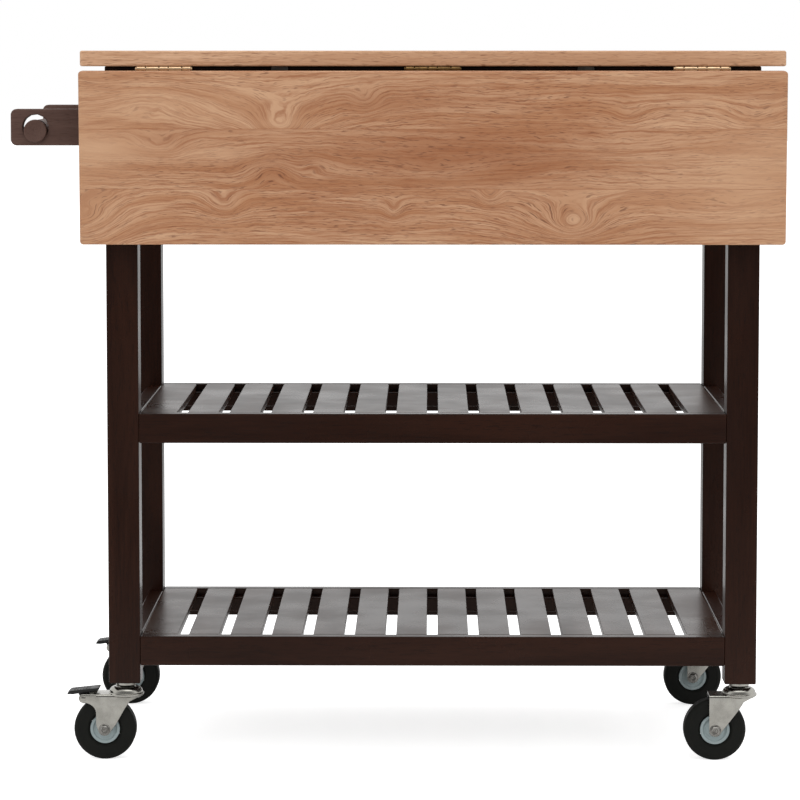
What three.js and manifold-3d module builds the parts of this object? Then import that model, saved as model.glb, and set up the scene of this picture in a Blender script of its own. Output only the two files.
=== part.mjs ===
// Drop leaf kitchen island: a butcher block worktop with a hinged leaf along the front, on a dark
// hardwood frame with two slatted shelves, a towel bar on the left and four swivel casters.
// Millimetres. X runs left to right, Y from the leaf side to the back, Z up from the floor.

import * as THREE from 'three';
import { mergeVertices } from 'three/addons/utils/BufferGeometryUtils.js';
import Module from 'manifold-3d';

const wasm = await Module();
wasm.setup();

// ---------------------------------------------------------------- driving dimensions

const overallHeight = 856;
const frameWidth = 781; // over the outside faces of the posts
const frameDepth = 402;
const postSize = 38;
const fit = 0.3; // running clearance between pieces that move or are turned
const seam = 0.05; // between fixed pieces that butt together
const woodEase = 1.5; // eased edges of the dark frame
const boardEase = 2.2; // rounder edges of the worktop and the leaf
const boardCorner = 4;

const topThickness = 18.5;
const topOverhang = 27;

const leafHeight = 205;
const leafThickness = 18;
const leafLean = THREE.MathUtils.degToRad(2.3); // the folded leaf leans in at the bottom
const leafGap = 1.5; // between worktop and leaf when the leaf is raised

const apronHeight = 115;
const railHeight = 35.5;
const boardThickness = 18; // aprons and rails
const shelfHeights = { lower: 152, middle: 422 }; // floor to the top face of each shelf
const slatWidth = 37;
const slatThickness = 10;
const slotWidth = 13.3;
const battenSize = 18;
const battenHousing = 0.5; // slats let into their battens

const hingeInset = 99.5; // from the end of the worktop to the middle of an end hinge
const knuckleRadius = 3;
const knuckleLengths = [11, 16, 11, 16, 11];
const hingePinRadius = 1.4;
const hingePlate = 1.6;
const hingePlateDepth = 22;
const hingePlay = 3.4; // the plates stop this far from the pin where the other plate's knuckles turn
const pinHeadRadius = 2.3;
const pinHeadLength = 1.1;
const pinDrop = 3.3; // hinge pin below the underside of the worktop

const stayOffset = 182; // from the middle of the island to each folding stay
const stayPivotDrop = 58; // stay pivot below the hinge pin
const stayPivotInset = 14; // stay pivot behind the hinge pin
const stayEndMargin = 16.5; // free leaf below the end of the folded stay
const stayBarThickness = 5;
const stayPinRadius = 2.5;
const stayEarRadius = 6.5;
const stayBracketWidth = 20;
const steelSheet = 1.8;
const trackRise = 7; // centre of the stay's nose from the leaf's face
const trackDepth = 10;
const trackPlay = 1; // each side of the stay, and beyond its nose

const towelBarRadius = 13;
const towelNeckRadius = 11.5;
const towelBarProud = 5; // bar end beyond the outside face of its bracket
const bracketThickness = 18;
const bracketHeight = 43.7;
const bracketReach = 114.5;
const bracketDrop = 51; // below the underside of the worktop
const bracketCorner = 7;
const bracketInset = 3; // from the inner face of the post
const towelHoleRadius = 16.3;
const towelHoleInset = 29.7; // from the free end of the bracket to the middle of the hole

const wheelDiameter = 75;
const tyreWidth = 24;
const tyreShoulder = 5;
const tyreBeadInset = 3; // from the tyre's side to the edge of its seat on the hub
const hubRadius = 17.9;
const hubInset = 1.6; // rim behind the side of the tyre
const hubRimWidth = 3.4;
const hubDish = 1.2; // depth of the sunk face
const hubDishSlope = 0.8;
const hubBossRadius = 7.5;
const tyreRecessRadius = 21;
const brakedTrail = 25; // axle behind the swivel axis, casters with a brake
const plainTrail = 29.5;
const forkWidth = 34; // over the outside of the fork's legs
const forkSheet = 2.2;
const forkBend = 13.5; // axle to the line where a leg starts to curve in
const forkNose = 18; // swivel axis to the front of the fork
const forkRoundness = 1.6; // of the nose seen from above: 2 is an ellipse, less is more pointed
const forkEndRadius = 7.8;
const forkEndAngles = [194, 342].map(THREE.MathUtils.degToRad); // where a leg's round end starts and stops
const forkHeelRise = 4.7; // where the rear edge of a leg meets its round end, above the axle
const forkToeRise = 5.5; // where the front edge of a leg starts, above the axle
const forkEdge = [[-1, 16.4], [5, 7.4], [14, 3.7]]; // on from there: [from swivel axis, below the crown]
const brakedForkBack = 10; // axle to the rear edge of a leg
const plainForkBack = 7.3;
const crownClearance = 3.4; // tyre to the underside of the crown
const headRadius = 21.7;
const headRise = 8; // domed race above the crown
const headSkirt = 1.4; // domed race below the crown
const headRimBevel = 2.2;
const headTopRadius = 12.6;
const headDomeAngle = THREE.MathUtils.degToRad(50); // of the one facet line on the dome
const flangeRadius = 12;
const flangeThickness = 5.4;
const kingPinRadius = 6;
const kingButtonRadius = 7.8;
const kingButtonThickness = 2;
const stemRadius = 5.2;
const stemLength = 38;
const stemBevel = 1;
const axleRadius = 4;
const axleHeadRadius = 5.7;
const axleHeadThickness = 3.4;
const axleEnd = 2; // bolt end beyond the nut
const lugDrop = 3; // brake pivot below the underside of the crown
const lugClearance = 8.124226; // tread to the brake pivot
const lugRadius = 5.6;
const lugEndAngle = THREE.MathUtils.degToRad(288); // where the lug's round end stops
const lugWaist = [8, 20]; // below the pivot: where the lug's hollow edge turns, and where it ends
const brakePinRadius = 2.5;
const brakePinProud = 1.2;
const pedalBossRadius = 4.6;
const pedalWidth = 24;
const pedalInnerWidth = 18; // of the web and the shoe, which go between the legs
// Side views of the pedal about its pivot, as [x, z] corners.
const pedalTab = [[-20.8, 4.6], [16.2, 9.6], [21.1, 15.8], [-15.4, 12.4], [-19.6, 10.6], [-21.2, 6.4]];
const pedalWeb = [[-4.6, 0], [4.6, 0], [7.5, 9], [-7.5, 7.5]];
const pedalShoe = [[-3.6, 0], [-1.2, -7.4], [2.4, -7.1], [4.2, 0]];

const roundSteps = 24; // facets of tyres and the brackets' holes
const hubSteps = 18; // facets of hubs, races and the towel bar
const stemSteps = 14; // facets of a caster's stem and king pin
const smallSteps = 12; // facets of bolts and bores
const pinSteps = 10; // facets of hinge knuckles and pins
const hexSides = 6;
const flareSteps = 6; // segments of the fork's curve on each side
const endSteps = 4; // segments of a round end
const cornerSteps = 3; // segments of a towel bracket's corner
const curveSteps = 1; // segments of a small rounded corner
const slabSteps = 2; // segments of a board's rounded edge
const overrun = 1; // a cutting tool beyond the faces it cuts

// ---------------------------------------------------------------- derived dimensions

const topUnderside = overallHeight - topThickness;
const topWidth = frameWidth + 2 * topOverhang;
const topDepth = frameDepth + 2 * topOverhang;
const innerWidth = frameWidth - 2 * postSize;
const innerDepth = frameDepth - 2 * postSize;
const postX = (frameWidth - postSize) / 2;
const postY = (frameDepth - postSize) / 2;
const pinY = -topDepth / 2;
const pinZ = topUnderside - pinDrop;
const hingeLength = knuckleLengths.reduce((sum, length) => sum + length);
const noseRadius = trackRise - steelSheet - 2 * fit; // round end of the stay, clear of the track
const sideBoardX = innerWidth / 2 + boardThickness / 2;
const wheelRadius = wheelDiameter / 2;
const crownUnderside = wheelDiameter + crownClearance;
const crownTop = crownUnderside + forkSheet;
const crownRise = crownUnderside - wheelRadius; // underside of the crown above the axle
const lugRise = crownRise - lugDrop; // brake pivot above the axle
const lugReach = Math.sqrt((wheelRadius + lugClearance) ** 2 - lugRise ** 2); // and behind it
const forkFace = forkWidth / 2;
const bossReach = forkFace - forkSheet - 2 * fit; // hub and pedal bosses, between the fork's legs
const flangeUnderside = crownTop + headRise + fit;
const legBottom = flangeUnderside + flangeThickness;

// ---------------------------------------------------------------- finishes

const finishes = {
  butcherBlock: { color: 0xc69e7d, roughness: 0.42, metalness: 0 },
  darkWood: { color: 0x33221d, roughness: 0.3, metalness: 0 },
  brass: { color: 0xc9a46a, roughness: 0.32, metalness: 1 },
  steel: { color: 0xb4b2ac, roughness: 0.35, metalness: 1 },
  rubber: { color: 0x242423, roughness: 0.75, metalness: 0 },
  hubPlastic: { color: 0x98a5aa, roughness: 0.45, metalness: 0 },
  blackPlastic: { color: 0x1c1b1c, roughness: 0.5, metalness: 0 },
};

// ---------------------------------------------------------------- shaping helpers

// A closed geometry as a solid that can be joined and cut.
function solidOf(geometry) {
  const bare = geometry.clone();
  bare.deleteAttribute('normal');
  bare.deleteAttribute('uv');
  const merged = mergeVertices(bare, 1e-4);
  const corners = merged.index.array;
  const kept = [];
  for (let i = 0; i < corners.length; i += 3) {
    const [a, b, c] = [corners[i], corners[i + 1], corners[i + 2]];
    if (a !== b && b !== c && c !== a) kept.push(a, b, c);
  }
  const vertProperties = new Float32Array(merged.attributes.position.array);
  return new wasm.Manifold(new wasm.Mesh({ numProp: 3, vertProperties, triVerts: new Uint32Array(kept) }));
}

function geometryOf(solid) {
  const { vertProperties, triVerts } = solid.getMesh();
  const geometry = new THREE.BufferGeometry();
  geometry.setAttribute('position', new THREE.BufferAttribute(new Float32Array(vertProperties), 3));
  geometry.setIndex(new THREE.BufferAttribute(new Uint32Array(triVerts), 1));
  return geometry;
}

function joined(...geometries) {
  return geometryOf(geometries.map(solidOf).reduce((whole, piece) => whole.add(piece)));
}

function cut(geometry, ...tools) {
  return geometryOf(tools.map(solidOf).reduce((whole, tool) => whole.subtract(tool), solidOf(geometry)));
}

function common(geometry, other) {
  return geometryOf(solidOf(geometry).intersect(solidOf(other)));
}

function box(x, y, z) {
  return new THREE.BoxGeometry(x[1] - x[0], y[1] - y[0], z[1] - z[0])
    .translate((x[0] + x[1]) / 2, (y[0] + y[1]) / 2, (z[0] + z[1]) / 2);
}

// A rectangle about the origin with rounded corners.
function roundedRectangle(width, height, radius) {
  const [w, h] = [width / 2 - radius, height / 2 - radius];
  const outline = new THREE.Shape();
  outline.absarc(w, h, radius, 0, Math.PI / 2);
  outline.absarc(-w, h, radius, Math.PI / 2, Math.PI);
  outline.absarc(-w, -h, radius, Math.PI, Math.PI * 1.5);
  outline.absarc(w, -h, radius, Math.PI * 1.5, Math.PI * 2);
  outline.closePath();
  return outline;
}

// A slot-shaped outline: two round ends, one at the origin and one at (0, -length).
function roundedBar(length, radius) {
  const outline = new THREE.Shape();
  outline.absarc(0, 0, radius, 0, Math.PI);
  outline.absarc(0, -length, radius, Math.PI, Math.PI * 2);
  outline.closePath();
  return outline;
}

// An outline in X and Y carried up from z = 0.
function extruded(outline, depth, curveSegments = curveSteps) {
  return new THREE.ExtrudeGeometry(outline, { depth, bevelEnabled: false, curveSegments });
}

// An outline in X and Z carried along Y, centred on y = 0.
function carriedAlongY(outline, depth, curveSegments = curveSteps) {
  return extruded(outline, depth, curveSegments).rotateX(Math.PI / 2).translate(0, depth / 2, 0);
}

// An outline in Y and Z carried along X, centred on x = 0.
function carriedAlongX(outline, depth, curveSegments = curveSteps) {
  return extruded(outline, depth, curveSegments).rotateZ(Math.PI / 2).rotateY(Math.PI / 2)
    .translate(-depth / 2, 0, 0);
}

// A square-ended stick of eased timber, centred on the origin.
function stick(axis, length, across, up) {
  if (axis === 'x') return carriedAlongX(roundedRectangle(across, up, woodEase), length);
  if (axis === 'y') return carriedAlongY(roundedRectangle(across, up, woodEase), length);
  return extruded(roundedRectangle(across, up, woodEase), length).translate(0, 0, -length / 2);
}

// A board eased on every edge, centred in plan and standing on z = 0.
function slab(width, depth, thickness) {
  const core = roundedRectangle(width - 2 * boardEase, depth - 2 * boardEase, boardCorner - boardEase);
  return new THREE.ExtrudeGeometry(core, {
    depth: thickness - 2 * boardEase,
    bevelThickness: boardEase,
    bevelSize: boardEase,
    bevelSegments: slabSteps,
    curveSegments: curveSteps,
  }).translate(0, 0, boardEase);
}

// A profile of [radius, height] pairs turned about Z, listed so that the outside is climbed upwards.
function turned(profile, steps = roundSteps) {
  const points = profile.map(([radius, height]) => new THREE.Vector2(radius, height));
  return new THREE.LatheGeometry(points, steps).rotateX(Math.PI / 2);
}

// The same about Y, with the heights measured away from the viewer.
function turnedAboutY(profile, steps = roundSteps) {
  return turned(profile, steps).rotateX(-Math.PI / 2);
}

function cylinder(radius, from, to, steps = smallSteps) {
  return turned([[0, from], [radius, from], [radius, to], [0, to]], steps);
}

function cylinderAlongX(radius, from, to, steps = smallSteps) {
  return cylinder(radius, from, to, steps).rotateY(Math.PI / 2);
}

function cylinderAlongY(radius, from, to, steps = smallSteps) {
  return cylinder(radius, from, to, steps).rotateX(-Math.PI / 2);
}

function addPiece(parent, name, geometry, finish, x = 0, y = 0, z = 0) {
  const mesh = new THREE.Mesh(geometry, new THREE.MeshStandardMaterial(finishes[finish]));
  mesh.name = name;
  mesh.position.set(x, y, z);
  parent.add(mesh);
  return mesh;
}

// ---------------------------------------------------------------- frame, shelves and worktop

const corners = [
  { name: 'front_left', side: -1, end: -1 },
  { name: 'front_right', side: 1, end: -1 },
  { name: 'rear_left', side: -1, end: 1 },
  { name: 'rear_right', side: 1, end: 1 },
];

// Each post is bored from below for the stem of its caster.
function addLegs(parent) {
  const length = topUnderside - seam - legBottom;
  const bore = cylinder(stemRadius + fit, -length / 2 - overrun, -length / 2 + stemLength + overrun);
  const post = cut(stick('z', length, postSize, postSize), bore);
  for (const { name, side, end } of corners) {
    addPiece(parent, `leg_${name}`, post, 'darkWood', side * postX, end * postY, legBottom + length / 2);
  }
}

// Four boards between the posts: the long ones flush outside, the end ones flush inside.
function addBoardRing(parent, prefix, height, top) {
  const longY = (frameDepth - boardThickness) / 2;
  const middle = top - height / 2;
  const longBoard = stick('x', innerWidth - 2 * seam, boardThickness, height);
  const endBoard = stick('y', innerDepth - 2 * seam, boardThickness, height);
  addPiece(parent, `${prefix}_front`, longBoard, 'darkWood', 0, -longY, middle);
  addPiece(parent, `${prefix}_rear`, longBoard, 'darkWood', 0, longY, middle);
  addPiece(parent, `${prefix}_left`, endBoard, 'darkWood', -sideBoardX, 0, middle);
  addPiece(parent, `${prefix}_right`, endBoard, 'darkWood', sideBoardX, 0, middle);
}

// A slat with its top edges eased, its top face at z = 0.
function slat(depth, across) {
  const outline = new THREE.Shape();
  outline.moveTo(-across / 2, -slatThickness);
  outline.lineTo(across / 2, -slatThickness);
  outline.absarc(across / 2 - woodEase, -woodEase, woodEase, 0, Math.PI / 2);
  outline.absarc(woodEase - across / 2, -woodEase, woodEase, Math.PI / 2, Math.PI);
  outline.closePath();
  return carriedAlongY(outline, depth);
}

// Slats from front to back, let into a batten behind each long rail; the two end slats take up
// what the even spacing leaves.
function slattedDeck() {
  const width = innerWidth - 2 * seam;
  const depth = frameDepth - 2 * (boardThickness + seam);
  const count = Math.floor((innerWidth + slotWidth) / (slatWidth + slotWidth));
  const endSlat = (width - (count - 2) * slatWidth - (count - 1) * slotWidth) / 2;
  const slats = [];
  let left = -width / 2;
  for (let i = 0; i < count; i += 1) {
    const across = i === 0 || i === count - 1 ? endSlat : slatWidth;
    slats.push(slat(depth, across).translate(left + across / 2, 0, 0));
    left += across + slotWidth;
  }
  const battenTop = battenHousing - slatThickness;
  const battenSpan = [-depth / 2, battenSize - depth / 2];
  const batten = box([-width / 2, width / 2], battenSpan, [battenTop - battenSize, battenTop]);
  return joined(...slats, batten, batten.clone().rotateZ(Math.PI));
}

function addShelves(parent) {
  const deck = slattedDeck();
  for (const [name, height] of Object.entries(shelfHeights)) {
    addBoardRing(parent, `${name}_rail`, railHeight, height);
    addPiece(parent, `${name}_slats`, deck, 'darkWood', 0, 0, height);
  }
}

function addWorktop(parent) {
  addPiece(parent, 'worktop', slab(topWidth, topDepth, topThickness), 'butcherBlock', 0, 0, topUnderside);
}

// ---------------------------------------------------------------- drop leaf, hinges and stays

// One plate of a butt hinge, flat under z = lift and reaching from the pin at the origin towards
// +Y (toward = 1) or -Y (toward = -1), with every second knuckle starting from the given one.
function hingePlateWithKnuckles(toward, firstKnuckle, lift) {
  const half = hingeLength / 2;
  const span = (near, far) => (toward > 0 ? [near, far] : [-far, -near]);
  const level = [lift - hingePlate, lift];
  const pieces = [box([-half, half], span(hingePlay, hingePlateDepth), level)];
  let start = -half;
  knuckleLengths.forEach((length, i) => {
    if (i % 2 === firstKnuckle) {
      const x = [start + fit / 2, start + length - fit / 2];
      pieces.push(cylinderAlongX(knuckleRadius, ...x, pinSteps));
      pieces.push(box(x, span(0, hingePlay + overrun), level));
    }
    start += length;
  });
  const bore = cylinderAlongX(hingePinRadius + fit, -half - overrun, half + overrun, pinSteps);
  return cut(joined(...pieces), bore);
}

function hingePin() {
  const end = hingeLength / 2 + fit + pinHeadLength;
  const neck = end - pinHeadLength;
  return turned([
    [0, -end], [pinHeadRadius, -end], [pinHeadRadius, -neck], [hingePinRadius, -neck],
    [hingePinRadius, neck], [pinHeadRadius, neck], [pinHeadRadius, end], [0, end],
  ], pinSteps).rotateY(Math.PI / 2);
}

// The leaf's pieces are drawn as they lie with the leaf raised, about the hinge pin.
function leafBoard() {
  return slab(topWidth, leafHeight, leafThickness).translate(0, -leafGap - leafHeight / 2, pinDrop);
}

// A stay bar runs from its pivot to a round nose that lies in a channel under the leaf. The nose is
// stayReach from the hinge pin when the leaf hangs, and raisedReach when it is raised.
const nose = new THREE.Vector2(pinDrop - trackRise, leafGap + leafHeight - stayEndMargin);
const stayReach = nose.y;
const hangingNose = new THREE.Vector2(
  -nose.x * Math.cos(leafLean) + stayReach * Math.sin(leafLean) - stayPivotInset,
  -nose.x * Math.sin(leafLean) - stayReach * Math.cos(leafLean) + stayPivotDrop,
);
const stayLength = hangingNose.length();
const stayRestAngle = Math.atan2(-hangingNose.x, -hangingNose.y);
const raisedReach = Math.sqrt(stayLength ** 2 - (stayPivotDrop + nose.x) ** 2) - stayPivotInset;

function stayBar() {
  const bar = carriedAlongX(roundedBar(stayLength, noseRadius), stayBarThickness, endSteps);
  return cut(bar, cylinderAlongX(stayPinRadius + fit, -stayBarThickness, stayBarThickness));
}

// A channel that opens away from the leaf, from the nose's raised place to its hanging place.
function stayTrack() {
  const inside = stayBarThickness / 2 + trackPlay;
  const outside = inside + steelSheet;
  const top = pinDrop - fit;
  const near = raisedReach - noseRadius - trackPlay;
  const far = stayReach + noseRadius + trackPlay;
  const channel = box([-outside, outside], [-far, -near], [top - trackDepth, top]);
  const hollow = box(
    [-inside, inside], [-far - overrun, -near + overrun], [top - trackDepth - overrun, top - steelSheet],
  );
  return cut(channel, hollow);
}

// A plate on the front apron, with two ears that hold the pivot pin of the bar.
function stayBracket() {
  const face = topOverhang - seam;
  const bottom = -stayPivotDrop - 2 * stayEarRadius;
  const plateSpan = [-stayBracketWidth / 2, stayBracketWidth / 2];
  const plate = box(plateSpan, [face - steelSheet, face], [bottom, pinDrop - seam]);
  const ear = carriedAlongX(roundedBar(face - stayPivotInset, stayEarRadius), steelSheet, endSteps)
    .rotateX(Math.PI / 2)
    .translate(0, stayPivotInset, -stayPivotDrop);
  const limit = box([-stayBracketWidth, stayBracketWidth], [0, face], [2 * bottom, 0]);
  const earX = (stayBarThickness + steelSheet) / 2 + fit;
  const pinEnd = earX + steelSheet / 2 + pinHeadLength;
  const pin = cylinderAlongX(stayPinRadius, -pinEnd, pinEnd).translate(0, stayPivotInset, -stayPivotDrop);
  const ears = [-earX, earX].map((x) => common(ear.clone().translate(x, 0, 0), limit));
  return joined(plate, ...ears, pin);
}

function addLeaf(parent) {
  const hingeX = topWidth / 2 - hingeInset;
  const frameSide = hingePlateWithKnuckles(1, 0, pinDrop - seam);
  const leafSide = hingePlateWithKnuckles(-1, 1, pinDrop - fit);
  const pin = hingePin();

  const atPin = new THREE.Group();
  atPin.position.set(0, pinY, pinZ);
  parent.add(atPin);

  const leaf = new THREE.Group();
  leaf.rotation.x = Math.PI / 2 + leafLean;
  atPin.add(leaf);
  addPiece(leaf, 'drop_leaf', leafBoard(), 'butcherBlock');

  for (const [name, x] of [['left', -hingeX], ['middle', 0], ['right', hingeX]]) {
    addPiece(atPin, `hinge_${name}_top_plate`, frameSide, 'brass', x);
    addPiece(leaf, `hinge_${name}_leaf_plate`, leafSide, 'brass', x);
    addPiece(atPin, `hinge_${name}_pin`, pin, 'brass', x);
  }

  for (const [name, x] of [['left', -stayOffset], ['right', stayOffset]]) {
    addPiece(atPin, `stay_${name}_bracket`, stayBracket(), 'steel', x);
    addPiece(leaf, `stay_${name}_track`, stayTrack(), 'steel', x);
    const bar = addPiece(atPin, `stay_${name}_bar`, stayBar(), 'steel', x, stayPivotInset, -stayPivotDrop);
    bar.rotation.x = -stayRestAngle;
  }
}

// ---------------------------------------------------------------- towel bar

const bracketTop = topUnderside - bracketDrop;
const bracketMiddle = bracketTop - bracketHeight / 2;
const bracketY = frameDepth / 2 - postSize + bracketInset + bracketThickness / 2;
const towelHoleX = -frameWidth / 2 - bracketReach + towelHoleInset;

// A plate seen from the front, square against the post and round at its free corners.
function towelBracket() {
  const reach = bracketReach - seam;
  const cornerRise = bracketHeight / 2 - bracketCorner;
  const outline = new THREE.Shape();
  outline.moveTo(0, -bracketHeight / 2);
  outline.lineTo(0, bracketHeight / 2);
  outline.absarc(bracketCorner - reach, cornerRise, bracketCorner, Math.PI / 2, Math.PI);
  outline.absarc(bracketCorner - reach, -cornerRise, bracketCorner, Math.PI, Math.PI * 1.5);
  outline.closePath();
  const hole = cylinderAlongY(towelHoleRadius, -bracketThickness, bracketThickness, roundSteps)
    .translate(towelHoleInset - reach, 0, 0);
  return cut(carriedAlongY(outline, bracketThickness, cornerSteps), hole);
}

// The bar drops into the brackets: its ends pass through the holes, then its necks sit low in them.
function towelBar() {
  const inner = bracketY - bracketThickness / 2 - fit;
  const outer = bracketY + bracketThickness / 2 + fit;
  const end = outer + towelBarProud;
  const tip = towelBarRadius - woodEase;
  const side = [
    [towelBarRadius, inner], [towelNeckRadius, inner], [towelNeckRadius, outer],
    [towelBarRadius, outer], [towelBarRadius, end - woodEase], [tip, end], [0, end],
  ];
  const otherSide = side.map(([radius, along]) => [radius, -along]).reverse();
  return turnedAboutY([...otherSide, ...side], hubSteps);
}

function addTowelBar(parent) {
  const bracket = towelBracket();
  const x = -frameWidth / 2 - seam;
  addPiece(parent, 'towel_bracket_front', bracket, 'darkWood', x, -bracketY, bracketMiddle);
  addPiece(parent, 'towel_bracket_rear', bracket, 'darkWood', x, bracketY, bracketMiddle);
  const barZ = bracketMiddle - (towelHoleRadius - towelNeckRadius) + fit;
  addPiece(parent, 'towel_bar', towelBar(), 'darkWood', towelHoleX, 0, barZ);
}

// ---------------------------------------------------------------- casters

const headUnderside = crownUnderside - headSkirt;
const headTop = crownTop + headRise;

// Stem, flange and king pin in one turning; the button below traps the fork's head.
function casterMount() {
  const buttonTop = headUnderside - fit;
  const buttonBottom = buttonTop - kingButtonThickness;
  const stemTop = legBottom + stemLength;
  return turned([
    [0, buttonBottom], [kingButtonRadius, buttonBottom], [kingButtonRadius, buttonTop],
    [kingPinRadius, buttonTop], [kingPinRadius, flangeUnderside], [flangeRadius, flangeUnderside],
    [flangeRadius, legBottom - seam], [stemRadius, legBottom - seam],
    [stemRadius, stemTop - stemBevel], [stemRadius - stemBevel, stemTop], [0, stemTop],
  ], stemSteps);
}

// The domed ball race round the king pin: an upright rim, then a quarter oval up to the flat top.
function forkHead() {
  const bore = kingPinRadius + fit;
  const shoulder = headRadius - headRimBevel / 2;
  const rimTop = crownTop + headRimBevel / 2;
  return turned([
    [bore, headUnderside], [headRadius - headRimBevel, headUnderside], [headRadius, crownUnderside],
    [headRadius, crownTop], [shoulder, rimTop],
    [
      headTopRadius + (shoulder - headTopRadius) * Math.cos(headDomeAngle),
      rimTop + (headTop - rimTop) * Math.sin(headDomeAngle),
    ],
    [headTopRadius, headTop], [bore, headTop], [bore, headUnderside],
  ], hubSteps);
}

function outlineThrough(points) {
  return new THREE.Shape(points.map(([x, y]) => new THREE.Vector2(x, y)));
}

// The side view of the fork, about the axle. A braked caster's fork has a lug behind for the pedal.
function forkSide(trail, back, braked) {
  const top = crownRise + forkSheet;
  const [turn, end] = lugWaist.map((drop) => lugRise - drop);
  const side = new THREE.Shape();
  side.moveTo(trail + forkNose, top);
  if (braked) {
    side.lineTo(-lugReach, top);
    side.absarc(-lugReach, lugRise, lugRadius, Math.PI / 2, lugEndAngle);
    side.quadraticCurveTo(-back, turn, -back, end);
  } else {
    side.lineTo(-back, top);
  }
  side.lineTo(-back, forkHeelRise);
  side.absarc(0, 0, forkEndRadius, ...forkEndAngles);
  side.lineTo(forkBend, forkToeRise);
  const edge = forkEdge.map(([along, drop]) => [trail + along, crownRise - drop]);
  edge.forEach(([along, rise]) => side.lineTo(along, rise));
  side.lineTo(trail + forkNose, edge.at(-1)[1]);
  side.closePath();
  return side;
}

// One side of the fork seen from above, from the flat leg to the nose: [along, half width] points.
function forkFlare(trail, halfWidth, nose) {
  const reach = trail + nose - forkBend;
  return Array.from({ length: flareSteps + 1 }, (_, i) => {
    const along = Math.sin((Math.PI / 2) * (i / flareSteps));
    return [forkBend + reach * along, halfWidth * (1 - along ** forkRoundness) ** (1 / forkRoundness)];
  });
}

// The fork's sheet seen from above: two flat legs that curve in and meet in a round nose.
function forkPlan(trail) {
  const rear = -lugReach - 2 * lugRadius;
  const inside = forkFace - forkSheet;
  const outer = [[rear, forkFace], ...forkFlare(trail, forkFace, forkNose)];
  const inner = [[rear, inside], ...forkFlare(trail, inside, forkNose - forkSheet)];
  const other = (line) => line.slice(0, -1).map(([along, across]) => [along, -across]).reverse();
  return outlineThrough([...outer, ...other(outer), ...other(inner).reverse(), ...inner.reverse()]);
}

// Legs and nose, a crown plate and the race, pressed and riveted into one fork.
function casterFork(trail, braked) {
  const back = braked ? brakedForkBack : plainForkBack;
  const side = carriedAlongY(forkSide(trail, back, braked), forkWidth + 2 * overrun, endSteps);
  const sheet = extruded(forkPlan(trail), 2 * wheelDiameter).translate(0, 0, -wheelDiameter);
  const crown = box([-back, trail], [-forkFace, forkFace], [crownRise, crownRise + forkSheet]);
  const pieces = [common(side, sheet), crown, forkHead().translate(trail, 0, -wheelRadius)];
  if (braked) {
    const rivet = forkFace + brakePinProud;
    pieces.push(cylinderAlongY(brakePinRadius, -rivet, rivet).translate(-lugReach, 0, lugRise));
  }
  const kingHole = cylinder(kingPinRadius + fit, 0, wheelDiameter, hubSteps).translate(trail, 0, 0);
  const axleHole = cylinderAlongY(axleRadius + fit, -forkWidth, forkWidth);
  return cut(joined(...pieces), kingHole, axleHole);
}

// A ring turned about the axle from the profile of its far side.
function ring(side, steps) {
  const nearSide = side.map(([radius, along]) => [radius, -along]).reverse();
  return turnedAboutY([...nearSide, ...side, nearSide[0]], steps);
}

function casterTyre() {
  const half = tyreWidth / 2;
  const curve = tyreShoulder * (1 - Math.SQRT1_2);
  return ring([
    [wheelRadius, half - tyreShoulder], [wheelRadius - curve, half - curve],
    [wheelRadius - tyreShoulder, half], [tyreRecessRadius, half], [hubRadius + fit, half - tyreBeadInset],
  ], roundSteps);
}

// The hub has a raised rim, a sunk face and a boss that reaches nearly to the fork's legs.
function casterHub() {
  const rim = tyreWidth / 2 - hubInset;
  const rimInside = hubRadius - hubRimWidth;
  const face = rim - hubDish;
  return ring([
    [hubRadius, rim], [rimInside, rim], [rimInside - hubDishSlope, face],
    [hubBossRadius, face], [hubBossRadius, bossReach], [axleRadius + fit, bossReach],
  ], hubSteps);
}

// A hexagon bolt through both legs, with a nut behind.
function casterAxle() {
  const outside = forkFace + fit;
  const far = outside + axleHeadThickness;
  return joined(
    cylinderAlongY(axleHeadRadius, -far, -outside, hexSides),
    cylinderAlongY(axleRadius, -outside - overrun, far + axleEnd),
    cylinderAlongY(axleHeadRadius, outside, far, hexSides),
  );
}

// The foot pedal, about its rivet: a sloping tab over the crown, and a shoe that turns towards the
// tyre when the free end is pressed down.
function brakePedal() {
  const body = joined(
    carriedAlongY(outlineThrough(pedalTab), pedalWidth),
    carriedAlongY(outlineThrough(pedalWeb), pedalInnerWidth),
    carriedAlongY(outlineThrough(pedalShoe), pedalInnerWidth),
    cylinderAlongY(pedalBossRadius, -bossReach, bossReach),
  );
  return cut(body, cylinderAlongY(brakePinRadius + fit, -forkFace, forkFace));
}

function addCasters(parent) {
  for (const { name, side, end } of corners) {
    const braked = side < 0;
    const trail = braked ? brakedTrail : plainTrail;
    const caster = new THREE.Group();
    caster.position.set(side * postX, end * postY, 0);
    parent.add(caster);
    const piece = (suffix, geometry, finish, x = 0, z = 0) =>
      addPiece(caster, `caster_${name}_${suffix}`, geometry, finish, x, 0, z);
    piece('mount', casterMount(), 'steel');
    piece('fork', casterFork(trail, braked), 'steel', -trail, wheelRadius);
    piece('tyre', casterTyre(), 'rubber', -trail, wheelRadius);
    piece('hub', casterHub(), 'hubPlastic', -trail, wheelRadius);
    piece('axle', casterAxle(), 'steel', -trail, wheelRadius);
    if (braked) {
      piece('pedal', brakePedal(), 'blackPlastic', -trail - lugReach, wheelRadius + lugRise);
    }
  }
}

// ---------------------------------------------------------------- the island

const island = new THREE.Group();
addWorktop(island);
addLegs(island);
addBoardRing(island, 'apron', apronHeight, topUnderside - seam);
addShelves(island);
addLeaf(island);
addTowelBar(island);
addCasters(island);

// The origin is on the floor, under the middle of everything.
const bounds = new THREE.Box3().setFromObject(island, true);
const middle = bounds.getCenter(new THREE.Vector3());
island.position.set(-middle.x, -middle.y, -bounds.min.z);

export default island;
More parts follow.
